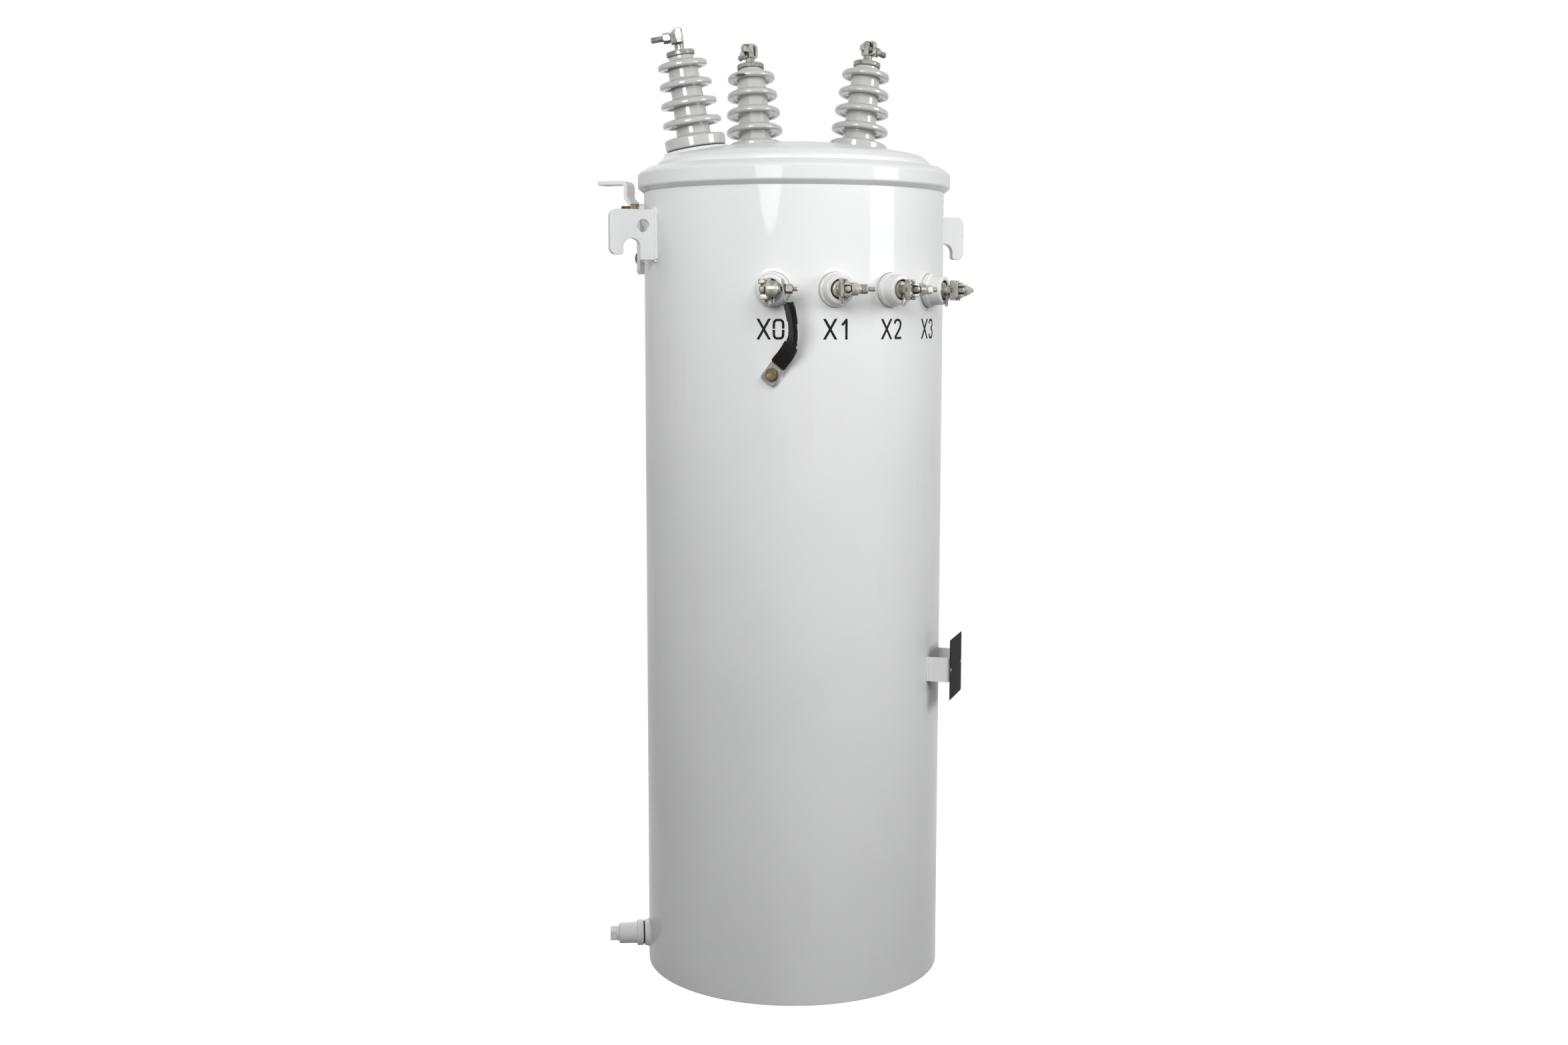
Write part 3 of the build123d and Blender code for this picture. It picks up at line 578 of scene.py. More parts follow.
def drill(piece: bpy.types.Object, at: Matrix, radius: float,
          depth: tuple[float, float]) -> bpy.types.Object:
    """Cuts a round hole through a piece.

    Args:
        piece: the mesh object to cut.
        at: frame whose z axis is the hole's.
        radius: the hole's radius.
        depth: z where the cut starts and ends.

    Returns:
        The same piece.
    """
    cutter = lathe("cutter", [(0, depth[0]), (radius, depth[0]), (radius, depth[1]), (0, depth[1])], at, 48)
    cut = piece.modifiers.new("hole", "BOOLEAN")
    cut.operation = "DIFFERENCE"
    cut.solver = "EXACT"
    cut.object = cutter
    settled(piece)
    bpy.data.objects.remove(cutter)
    return piece


def softened(name: str, node: str, width: float) -> bpy.types.Object:
    """Copies a frame node's mesh and rounds its edges.

    Args:
        name: the new piece's name.
        node: the frame node to copy.
        width: width of the rounding.

    Returns:
        The new object.
    """
    mesh = frame["nodes"][node].data.copy()
    mesh.materials.clear()
    piece = linked(name, mesh)
    sheet = bmesh.new()
    sheet.from_mesh(mesh)
    bmesh.ops.remove_doubles(sheet, verts=sheet.verts, dist=2e-5)
    bmesh.ops.dissolve_limit(sheet, angle_limit=math.radians(0.6), verts=sheet.verts, edges=sheet.edges)
    sheet.to_mesh(mesh)
    sheet.free()
    edge = piece.modifiers.new("edges", "BEVEL")
    edge.width = width * MM
    edge.segments = 3
    edge.limit_method = "ANGLE"
    edge.angle_limit = math.radians(35)
    mesh.shade_smooth()
    return settled(piece)


# ---------------------------------------------------------------- finishes


class Graph:
    """A node tree with short ways to add its nodes."""

    def __init__(self, tree: bpy.types.NodeTree) -> None:
        """Takes the tree to add to."""
        self.tree = tree

    def add(self, kind: str, values: dict | None = None, **settings: object) -> bpy.types.Node:
        """Adds a node.

        Args:
            kind: the node's type name.
            values: what goes to its inputs, by name or number; a socket is linked.
            settings: properties of the node.

        Returns:
            The node.
        """
        node = self.tree.nodes.new(kind)
        for key, value in settings.items():
            setattr(node, key, value)
        for key, value in (values or {}).items():
            if isinstance(value, bpy.types.NodeSocket):
                self.tree.links.new(value, node.inputs[key])
            else:
                node.inputs[key].default_value = value
        return node

    def place(self) -> bpy.types.NodeSocket:
        """Position on the object, in metres."""
        return self.add("ShaderNodeTexCoord").outputs["Object"]

    def calculate(self, operation: str, *values: object) -> bpy.types.NodeSocket:
        """Result of a math node on one to three values."""
        node = self.add("ShaderNodeMath", dict(enumerate(values)), operation=operation)
        return node.outputs[0]

    def stretched(self, scale: tuple[float, float, float]) -> bpy.types.NodeSocket:
        """Position on the object, scaled along each axis."""
        node = self.add("ShaderNodeMapping", {"Vector": self.place(), "Scale": scale})
        return node.outputs[0]

    def clouds(self, where: bpy.types.NodeSocket, scale: object, detail: float = 3) -> bpy.types.NodeSocket:
        """Noise from 0 to 1 at a position."""
        node = self.add("ShaderNodeTexNoise", {"Vector": where, "Scale": scale, "Detail": detail})
        return node.outputs["Fac"]

    def between(self, value: bpy.types.NodeSocket, low: float, high: float) -> bpy.types.NodeSocket:
        """Value eased from 0 at low to 1 at high."""
        values = {"Value": value, "From Min": low, "From Max": high}
        return self.add("ShaderNodeMapRange", values, interpolation_type="SMOOTHSTEP").outputs[0]

    def blend(self, share: object, first: object, second: object) -> bpy.types.NodeSocket:
        """Mixes two colours.

        Args:
            share: how much of the second colour, from 0 to 1.
            first: a colour or a socket.
            second: a colour or a socket.

        Returns:
            The mixed colour.
        """
        node = self.add("ShaderNodeMix", data_type="RGBA")
        for socket, value in ((node.inputs[0], share), (node.inputs[6], first), (node.inputs[7], second)):
            if isinstance(value, bpy.types.NodeSocket):
                self.tree.links.new(value, socket)
            elif isinstance(value, tuple):
                socket.default_value = (*value, 1)
            else:
                socket.default_value = value
        return node.outputs[2]

    def crevice(self, reach: float) -> bpy.types.NodeSocket:
        """Mask from 1 in crevices narrower than reach, in millimetres, to 0 in the open."""
        node = self.add("ShaderNodeAmbientOcclusion", {"Distance": reach * MM}, samples=6)
        return self.between(node.outputs["AO"], 0.92, 0.3)

    def relief(self, height: bpy.types.NodeSocket, depth: float) -> bpy.types.NodeSocket:
        """Normal bumped by a height, whose full range is depth in millimetres."""
        node = self.add("ShaderNodeBump", {"Height": height, "Distance": depth * MM, "Strength": 1})
        return node.outputs[0]


class Effect(Enum):
    """Surface effects that several finishes share, each a node group."""

    PEEL = "spray peel"
    GRIME = "grime"
    GRAIN = "cast grain"
    BRUSH = "drawn lines"


def effect(kind: Effect) -> bpy.types.NodeTree:
    """Builds a shared effect once.

    Args:
        kind: the effect.

    Returns:
        Its node group, with inputs Scale and Amount and outputs Mask and Height.
    """
    tree = bpy.data.node_groups.get(kind.value)
    if tree:
        return tree
    tree = bpy.data.node_groups.new(kind.value, "ShaderNodeTree")
    for name, value in (("Scale", 1.0), ("Amount", 1.0)):
        tree.interface.new_socket(name, in_out="INPUT", socket_type="NodeSocketFloat").default_value = value
    for name in ("Mask", "Height"):
        tree.interface.new_socket(name, in_out="OUTPUT", socket_type="NodeSocketFloat")
    graph = Graph(tree)
    given = graph.add("NodeGroupInput").outputs
    scaled = graph.add("ShaderNodeVectorMath", {0: graph.place()}, operation="SCALE")
    tree.links.new(given["Scale"], scaled.inputs["Scale"])
    where = scaled.outputs[0]
    if kind is Effect.PEEL:
        height = graph.clouds(where, 260.0, 2)
        mask = graph.between(graph.clouds(where, 3.2, 4), 0.38, 0.68)
    elif kind is Effect.GRIME:
        runs = graph.add("ShaderNodeMapping", {"Vector": where, "Scale": (26.0, 26.0, 1.6)}).outputs[0]
        streaks = graph.between(graph.clouds(runs, 1.0, 5), 0.5, 0.78)
        patches = graph.between(graph.clouds(where, 5.0, 6), 0.42, 0.72)
        mask = graph.calculate("MULTIPLY", streaks, patches)
        height = graph.clouds(where, 90.0, 4)
    elif kind is Effect.GRAIN:
        coarse = graph.clouds(where, 420.0, 4)
        pits = graph.between(graph.clouds(where, 900.0, 2), 0.3, 0.5)
        height = graph.calculate("MULTIPLY", coarse, pits)
        mask = graph.between(graph.clouds(where, 70.0, 5), 0.4, 0.66)
    else:
        lines = graph.add("ShaderNodeMapping", {"Vector": where, "Scale": (30.0, 30.0, 900.0)}).outputs[0]
        height = graph.clouds(lines, 1.0, 2)
        mask = graph.between(graph.clouds(where, 120.0, 4), 0.4, 0.7)
    faded = graph.calculate("MULTIPLY", mask, given["Amount"])
    graph.add("NodeGroupOutput", {"Mask": faded, "Height": height})
    return tree


@dataclass(frozen=True)
class Finish:
    """A surface finish, with the record's slot that it stands for."""

    slot: str
    name: str
    colour: Rgb
    worn: Rgb
    kind: Effect
    scale: float = 1
    amount: float = 1
    metal: float = 0
    rough: tuple[float, float] = (0.2, 0.3)
    coat: float = 0
    coat_rough: float = 0.05
    depth: float = 0.02
    ior: float = 1.5
    gloss: float = 0.5

    def marks(self, graph: Graph, colour: bpy.types.NodeSocket) -> bpy.types.NodeSocket:
        """Colour with this finish's own marks, none by default."""
        return colour

    def material(self) -> bpy.types.Material:
        """Builds the material once.

        Returns:
            The material.
        """
        material = bpy.data.materials.get(self.name)
        if material:
            return material
        material = bpy.data.materials.new(self.name)
        material.use_nodes = True
        material.node_tree.nodes.clear()
        graph = Graph(material.node_tree)
        group = graph.add("ShaderNodeGroup", node_tree=effect(self.kind))
        group.inputs["Scale"].default_value = self.scale
        group.inputs["Amount"].default_value = self.amount
        mask, height = group.outputs["Mask"], group.outputs["Height"]
        colour = self.marks(graph, graph.blend(mask, self.colour, self.worn))
        spread = self.rough[1] - self.rough[0]
        rough = graph.calculate("MULTIPLY_ADD", mask, spread, self.rough[0])
        shader = graph.add(
            "ShaderNodeBsdfPrincipled",
            {
                "Base Color": colour,
                "Roughness": rough,
                "Metallic": self.metal,
                "IOR": self.ior,
                "Specular IOR Level": self.gloss,
                "Coat Weight": self.coat,
                "Coat Roughness": self.coat_rough,
                "Normal": graph.relief(height, self.depth),
            },
        )
        graph.add("ShaderNodeOutputMaterial", {"Surface": shader.outputs[0]})
        return material

    def dress(self, piece: bpy.types.Object, *nodes: str) -> bpy.types.Object:
        """Gives a piece this finish and fits it to the frame.

        Args:
            piece: the mesh object.
            nodes: the frame nodes that it stands for.

        Returns:
            The same piece.
        """
        piece.data.materials.clear()
        piece.data.materials.append(self.material())
        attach(piece, "root")
        if nodes:
            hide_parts(*nodes)
        return piece

    def coat_node(self, node: str) -> None:
        """Gives this finish to a frame node that stays.

        Args:
            node: the frame node's name.
        """
        mesh = frame["nodes"][node].data
        mesh.materials.clear()
        mesh.materials.append(self.material())


@dataclass(frozen=True)
class Enamel(Finish):
    """Sprayed gloss enamel: peel, faint runs of grime, dust specks and scuffs."""

    dirt_and_crevice_shade: Rgb = (0.58, 0.58, 0.55)
    dust: Rgb = (0.2, 0.2, 0.19)
    scuff: Rgb = (0.93, 0.93, 0.92)
    scuffed: Corner = (0.165, -0.256, 1.0)

    def marks(self, graph: Graph, colour: bpy.types.NodeSocket) -> bpy.types.NodeSocket:
        """Adds grime runs, specks and a patch of upright scuffs.

        Args:
            graph: the material's nodes.
            colour: the paint's colour.

        Returns:
            The marked colour.
        """
        grime = graph.add("ShaderNodeGroup", node_tree=effect(Effect.GRIME))
        grime.inputs["Amount"].default_value = 0.35
        dirty = graph.blend(grime.outputs["Mask"], colour, self.dirt_and_crevice_shade)
        specks = graph.between(graph.clouds(graph.place(), 210.0, 1), 0.81, 0.85)
        flecked = graph.blend(graph.calculate("MULTIPLY", specks, 0.5), dirty, self.dust)
        patch = graph.add("ShaderNodeVectorMath", {0: graph.place(), 1: self.scuffed}, operation="DISTANCE")
        near = graph.between(patch.outputs["Value"], 0.075, 0.02)
        lines = graph.between(graph.clouds(graph.stretched((330.0, 330.0, 9.0)), 1.0, 2), 0.58, 0.7)
        scuffs = graph.calculate("MULTIPLY", graph.calculate("MULTIPLY", near, lines), 0.5)
        return graph.blend(scuffs, flecked, self.scuff)


@dataclass(frozen=True)
class Glaze(Finish):
    """Glazed porcelain: iron specks, and a fired smudge on one shed where smudge says."""

    iron: Rgb = (0.28, 0.26, 0.24)
    soot: Rgb = (0.035, 0.035, 0.035)
    smudge: Corner = (0, 0, -1)
    smudge_shape: Corner = (0.72, 0.72, 3.2)

    def marks(self, graph: Graph, colour: bpy.types.NodeSocket) -> bpy.types.NodeSocket:
        """Adds iron specks and the smudge.

        Args:
            graph: the material's nodes.
            colour: the glaze's colour.

        Returns:
            The marked colour.
        """
        specks = graph.between(graph.clouds(graph.place(), 330.0, 1), 0.78, 0.82)
        flecked = graph.blend(graph.calculate("MULTIPLY", specks, 0.45), colour, self.iron)
        apart = graph.add("ShaderNodeVectorMath", {0: graph.place(), 1: self.smudge}, operation="SUBTRACT")
        flat = {0: apart.outputs[0], 1: self.smudge_shape}
        flat = graph.add("ShaderNodeVectorMath", flat, operation="MULTIPLY").outputs[0]
        away = graph.add("ShaderNodeVectorMath", {0: flat}, operation="LENGTH").outputs["Value"]
        uneven = graph.calculate("MULTIPLY", graph.clouds(graph.place(), 160.0), 0.012)
        ragged = graph.calculate("ADD", away, uneven)
        return graph.blend(graph.between(ragged, 0.0195, 0.013), flecked, self.soot)


@dataclass(frozen=True)
class Tinned(Finish):
    """Tinned casting: warm and green stains where the tin is dull, and painted shade below and in crevices.
    """

    warm: Rgb = (0.52, 0.4, 0.34)
    green: Rgb = (0.36, 0.42, 0.33)
    # Painted shade on faces that look down.
    underside_shade: Rgb = (0.075, 0.072, 0.06)
    # Painted shade in crevices, with some dirt there.
    dirt_and_crevice_shade: Rgb = (0.05, 0.05, 0.042)

    def marks(self, graph: Graph, colour: bpy.types.NodeSocket) -> bpy.types.NodeSocket:
        """Adds warm and green stains, then painted shade on downward faces and in crevices.

        Args:
            graph: the material's nodes.
            colour: the metal's colour.

        Returns:
            The stained colour with its painted shade.
        """
        warm = graph.between(graph.clouds(graph.place(), 55.0, 3), 0.55, 0.75)
        warmed = graph.blend(graph.calculate("MULTIPLY", warm, 0.4), colour, self.warm)
        green = graph.between(graph.clouds(graph.stretched((1, 1, 1.4)), 38.0, 2), 0.58, 0.76)
        stained = graph.blend(graph.calculate("MULTIPLY", green, 0.3), warmed, self.green)
        # Painted shade: faces that look down are darkened, more the further down they look.
        facing = graph.add("ShaderNodeNewGeometry").outputs["Normal"]
        level = graph.add("ShaderNodeSeparateXYZ", {0: facing}).outputs[2]
        underside_shade = graph.calculate("MULTIPLY", graph.between(level, 0.1, -0.75), 0.55)
        shaded_below = graph.blend(underside_shade, stained, self.underside_shade)
        # Painted shade in crevices, found by ambient occlusion; it also stands for dirt there.
        return graph.blend(graph.calculate("MULTIPLY", graph.crevice(4), 0.75), shaded_below, self.dirt_and_crevice_shade)


ENAMEL = Enamel("tank_paint", "tank_enamel", (0.7, 0.705, 0.705), (0.675, 0.68, 0.68), Effect.PEEL,
                coat=0.25, rough=(0.42, 0.5), depth=0.006, coat_rough=0.055, gloss=0.06)
COVER_ENAMEL = Enamel("cover_paint", "cover_enamel", (0.67, 0.675, 0.675), (0.645, 0.65, 0.65), Effect.PEEL,
                      coat=0.25, rough=(0.4, 0.48), depth=0.008, coat_rough=0.06, gloss=0.06)
GLAZE = Glaze("porcelain", "glaze", (0.42, 0.42, 0.415), (0.4, 0.4, 0.395), Effect.PEEL, 2,
              rough=(0.3, 0.36), coat=1, coat_rough=0.03, depth=0.008, gloss=0.2)
WALL_GLAZE = Glaze("porcelain", "wall_glaze", (0.64, 0.64, 0.63), (0.62, 0.62, 0.61), Effect.PEEL, 2,
                   rough=(0.34, 0.4), coat=0.5, coat_rough=0.04, depth=0.008, gloss=0.1)
RUBBER = Finish("gasket_rubber", "nitrile", (0.02, 0.02, 0.02), (0.05, 0.05, 0.045), Effect.GRAIN,
                rough=(0.5, 0.7), depth=0.05, gloss=0.25)
GREY_RUBBER = Finish("gasket_rubber", "grey_rubber", (0.12, 0.12, 0.12), (0.16, 0.16, 0.155), Effect.GRAIN,
                     rough=(0.5, 0.7), depth=0.05, gloss=0.25)
TINNED = Tinned("tinned_bronze", "tinned_casting", (0.44, 0.43, 0.385), (0.22, 0.215, 0.19), Effect.GRAIN,
                metal=0.35, rough=(0.16, 0.32), depth=0.03, gloss=0.3)
CAP_TIN = Tinned("tinned_cap", "cap_plating", (0.3, 0.3, 0.285), (0.15, 0.15, 0.135), Effect.BRUSH,
                 metal=0.2, rough=(0.2, 0.34), depth=0.02, gloss=0.3)
BOLT_STEEL = Tinned("bolt_steel", "bright_steel", (0.38, 0.38, 0.375), (0.22, 0.22, 0.21), Effect.BRUSH,
                    metal=0.3, rough=(0.16, 0.3), depth=0.01, gloss=0.4)
BLACK_BOLT = Finish("black_bolt", "black_oxide", (0.03, 0.03, 0.033), (0.07, 0.066, 0.06), Effect.GRAIN,
                    metal=0.7, rough=(0.32, 0.5), depth=0.05, gloss=0.3)
YELLOW_ZINC = Tinned("yellow_zinc", "zinc_passivate", (0.17, 0.13, 0.048), (0.045, 0.038, 0.018),
                     Effect.BRUSH, 1.3, metal=0.2, rough=(0.16, 0.32), depth=0.02, gloss=0.3)
BLACK_PLATE = Finish("plate_black", "black_anodised", (0.007, 0.007, 0.008), (0.011, 0.011, 0.011),
                     Effect.BRUSH, rough=(0.5, 0.6), depth=0.004, gloss=0.02)
SLEEVE = Finish("link_sleeve", "shrink_sleeve", (0.004, 0.004, 0.004), (0.01, 0.01, 0.01), Effect.GRIME, 4,
                rough=(0.18, 0.34), depth=0.25, gloss=0.12)
COPPER_TIN = Tinned("tinned_copper", "dulled_tin", (0.36, 0.36, 0.355), (0.24, 0.24, 0.235), Effect.BRUSH,
                    metal=0, rough=(0.25, 0.4), depth=0.02, gloss=0.08)
COPPER = Finish("tinned_copper", "bare_copper", (0.2, 0.085, 0.04), (0.12, 0.06, 0.04), Effect.BRUSH,
                metal=0.2, rough=(0.25, 0.42), depth=0.02)
STENCIL = Finish("tank_paint", "stencil_paint", (0.007, 0.007, 0.007), (0.014, 0.014, 0.014), Effect.PEEL, 6,
                 rough=(0.35, 0.5), depth=0.02, gloss=0.06)


# ---------------------------------------------------------------- tank


@dataclass
class TankBody:
    """Rolled shell with its rim, and the collars and bosses that are welded to it."""

    height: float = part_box("tank_shell")[1].z / MM
    rim_radius: float = 312
    rim_thickness: float = 4
    collar_radius: float = 38.5
    collar_rise: float = 4
    lv_height: float = mounts("lv_terminal")[0]["pos_m"][2] / MM
    arrester_pad: tuple[float, float] = (14, 27.8)
    stud_pad: tuple[float, float] = (9, 11)
    drain_boss: tuple[float, float] = (27.5, 9.5)
    ground_pad: tuple[float, float] = (17.5, 9)
    bolt_inset: float = 12.8

    def shell(self) -> None:
        """Builds the wall with its rolled rim and its turned foot."""
        top = self.height
        under = top - self.rim_thickness
        profile = rounded([(WALL_INSIDE, 0, 0), (TANK_RADIUS, 0, 2.6), (TANK_RADIUS, under, 2),
                           (self.rim_radius, under, 1), (self.rim_radius, top, 1), (WALL_INSIDE, top, 0)])
        ENAMEL.dress(lathe("tank_wall", profile, Matrix(), 288, closed=True), "tank_shell")

    def boss(self, name: str, place: Matrix, size: tuple[float, float], weld: float) -> None:
        """Builds a round boss with a weld fillet at its foot.

        Args:
            name: the piece's name.
            place: where it stands on the wall.
            size: its radius and length.
            weld: leg of the fillet.
        """
        radius, length = size
        foot = [(radius + weld, -0.8), (radius + 0.7 * weld, 0.22 * weld), (radius + 0.3 * weld, 0.5 * weld)]
        side = [(radius + 0.05 * weld, weld), (radius, 1.3 * weld)]
        profile = foot + side + rounded([(radius, 1.3 * weld, 0), (radius, length, 1), (0, length, 0)])
        ENAMEL.dress(lathe(name, profile, place, 72, hug=0.7 * length))

    def collars(self) -> None:
        """Builds the pressed collar round each wall bushing."""
        radius, rise = self.collar_radius, self.collar_rise
        swell = ((2, 0.01), (0.4, 0.03), (-1.2, 0.07), (-2.6, 0.12), (-3.8, 0.15), (-4.6, 0.15), (-5, 0.12),
                 (-5.2, 0.02))
        swell = [(radius + out, share * rise) for out, share in swell]
        profile = [(radius + 4, -0.7), *swell, (radius - 5.25, -4)]
        for number, mount in enumerate(mounts("lv_terminal")):
            place = wall(azimuth_of(mount["pos_m"]), self.lv_height)
            ENAMEL.dress(lathe(f"wall_collar_{number}", profile, place, 96, crease=60, hug=math.inf))

    def build(self) -> None:
        """Builds the tank and everything that is part of its skin."""
        self.shell()
        self.collars()
        low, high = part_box("arrester_bolts")
        azimuth = azimuth_of(middle("arrester_bolts"))
        for number, height in enumerate((low.z / MM + self.bolt_inset, high.z / MM - self.bolt_inset)):
            self.boss(f"arrester_boss_{number}", wall(azimuth, height), self.arrester_pad, 3)
        self.boss("stud_boss", wall_at("ground_stud"), self.stud_pad, 2.5)
        self.boss("drain_boss", wall_at("drain_seal"), self.drain_boss, 4)
        self.boss("ground_boss", wall_at("ground_bolt"), self.ground_pad, 3)
        ENAMEL.coat_node("tank_bottom")


# ---------------------------------------------------------------- cover


@dataclass
class Cover:
    """Domed cover with a turned-down shoulder and three bushing pads."""

    seat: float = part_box("cover_gasket")[1].z / MM
    crown: float = 68
    crown_radius: float = 262
    shoulder_drop: float = 30
    shoulder_radius: float = 277.5
    shoulder_turn: float = 13
    step_foot: float = 17
    flange_radius: float = 311.5
    pad_radius: float = 66
    pad_rise: float = 5
    pad_below: float = 233.2

    @property
    def dome_radius(self) -> float:
        """Radius of the dome's sphere."""
        return (self.crown_radius**2 + self.shoulder_drop**2) / (2 * self.shoulder_drop)

    def dome(self, radius: float) -> float:
        """Height of the dome at a radius."""
        return self.seat + self.crown - self.dome_radius + math.sqrt(self.dome_radius**2 - radius**2)

    def skin(self) -> None:
        """Builds the pressed cover."""
        seat = self.seat
        turn = seat + self.crown - self.shoulder_drop - self.shoulder_turn
        radii = [0.5 + 246 * step / 22 for step in range(23)]
        crown = [(radius, self.dome(radius)) for radius in radii]
        r, rim = self.shoulder_radius, self.flange_radius
        corners = [(*crown[-1], 0), (self.crown_radius, self.dome(self.crown_radius), 26), (r, turn, 12),
                   (r, seat + self.step_foot, 3), (r + 19, seat + 12.4, 6), (rim, seat + 3.6, 1),
                   (rim, seat, 0), (WALL_INSIDE, seat, 0)]
        edge = rounded(corners, steps=7)
        COVER_ENAMEL.dress(lathe("cover_skin", crown + edge[1:], Matrix(), 224, crease=40), "cover")

    def pads(self) -> None:
        """Builds the raised pad under each bushing."""
        r, rise = self.pad_radius, self.pad_rise
        profile = [(r + 5, -4.5), (r + 3.6, -2.2), (r + 2, -0.4), (r + 0.7, 1.6), (r - 0.4, 3.4),
                   (r - 1.6, 4.5)]
        profile += [(r - 3.2, rise), (0, rise)]
        for mount in mounts("hv_terminal"):
            axis = Vector(mount["axis"])
            origin = Vector(mount["pos_m"]) / MM - axis * self.pad_below
            place = placed(origin, along(azimuth_of(axis)), axis)
            name = mount["name"].replace("hv_terminal", "bushing_pad")
            COVER_ENAMEL.dress(lathe(name, profile, place, 96, crease=50))

    def build(self) -> None:
        """Builds the cover."""
        self.skin()
        self.pads()
        RUBBER.coat_node("cover_gasket")
        RUBBER.coat_node("hv_gaskets")


@dataclass
class Band:
    """Clamping band round the cover's edge, split at the pole side and closed by a bolt."""

    foot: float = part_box("cover_band")[0].z / MM
    radius: float = 317.5
    wall: float = 3
    foot_rise: float = 10
    face_top: float = 35.5
    corner: float = 4.5
    lip_run: float = 15.5
    lip_slope: float = math.tan(math.radians(32))
    split: float = 14
    ear: float = 30
    ear_thickness: float = 6
    bolt_radius: float = 6
    bolt_pitch: float = 1.75
    bolt_flats: float = 19
    bolt_head: float = 8

    def hoop(self) -> None:
        """Builds the band's rolled section."""
        r, low, sheet = self.radius, self.foot, self.wall
        lip_end = r - self.corner - self.lip_run
        top = low + self.face_top + self.corner
        slope = self.lip_slope
        outer = [(TANK_RADIUS + 0.4, low, 0.5), (r - 1.2, low + self.foot_rise - 1.6, 3.5),
                 (r, low + self.foot_rise + 1, 3), (r, low + self.face_top, 7), (r - self.corner, top, 4),
                 (lip_end, top + self.lip_run * slope, 0.8)]
        inner = [(lip_end - 0.2, top + self.lip_run * slope - 3.4, 0.8),
                 (r - self.corner - 1.6, top - 2.6, 3), (r - sheet, low + self.face_top - 1, 3),
                 (r - sheet, low + self.foot_rise + 2.4, 2), (TANK_RADIUS + 0.3, low + 3, 0.5)]
        half = math.degrees(self.split / 2 / r)
        profile = rounded(outer + inner, True, 6)
        hoop = lathe("band_hoop", profile, Matrix(), 288, True, (90 + half, 450 - half), 40)
        ears = []
        middle_height = low + (self.face_top + self.foot_rise) / 2
        tall = self.face_top - self.foot_rise
        for side in (-1, 1):
            origin = Vector((side * self.split / 2, r, middle_height))
            place = placed(origin, Vector((0, 1, 0)), Vector((side, 0, 0)))
            outline = [(x + self.ear / 2 - sheet, y) for x, y in box_ring(self.ear + sheet, tall, 4)]
            hole = circle(self.bolt_radius + 0.5, 32, self.ear / 2 + sheet)
            ears.append(plate(f"ear_{side}", [outline, hole], (0, self.ear_thickness), place))
            root = Vector((side * (self.split / 2 + self.ear_thickness), r - 0.5, low + self.foot_rise))
            ears.append(bead(f"ear_weld_{side}", [root, root + Vector((0, 0, tall))], 2.4))
        COVER_ENAMEL.dress(joined("cover_band_hoop", [hoop, *ears]), "cover_band")

    def bolt(self) -> None:
        """Builds the bolt through the band's ears."""
        low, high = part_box("band_bolt")
        centre = (low + high) / 2 / MM
        place = placed(Vector((low.x / MM, centre.y, centre.z)), Vector((0, 1, 0)), Vector((1, 0, 0)))
        length = (high.x - low.x) / MM
        nut = self.bolt_head + 2 * (self.split / 2 + self.ear_thickness + 0.2)
        shank = thread("band_bolt_shank", place, self.bolt_head - 1, length, self.bolt_radius,
                       self.bolt_pitch)
        head = hexagon("band_bolt_head", place, self.bolt_flats, (0, self.bolt_head), (True, False))
        far = hexagon("band_bolt_nut", place, self.bolt_flats, (nut, nut + 10))
        BOLT_STEEL.dress(joined("band_bolt_set", [shank, head, far]), "band_bolt")

    def build(self) -> None:
        """Builds the band and its bolt."""
        self.hoop()
        self.bolt()


# ---------------------------------------------------------------- bushings on the cover


@dataclass
class Bushing:
    """A bushing of the record, known by its terminal's mount."""

    mount: dict

    @property
    def number(self) -> str:
        """The bushing's number."""
        return self.mount["name"][-1]

    @property
    def spot(self) -> Vector:
        """Where its terminal is, in millimetres."""
        return Vector(self.mount["pos_m"]) / MM

    @property
    def azimuth(self) -> float:
        """Azimuth of its terminal."""
        return azimuth_of(self.mount["pos_m"])

    @property
    def height(self) -> float:
        """Height of its terminal."""
        return self.mount["pos_m"][2] / MM


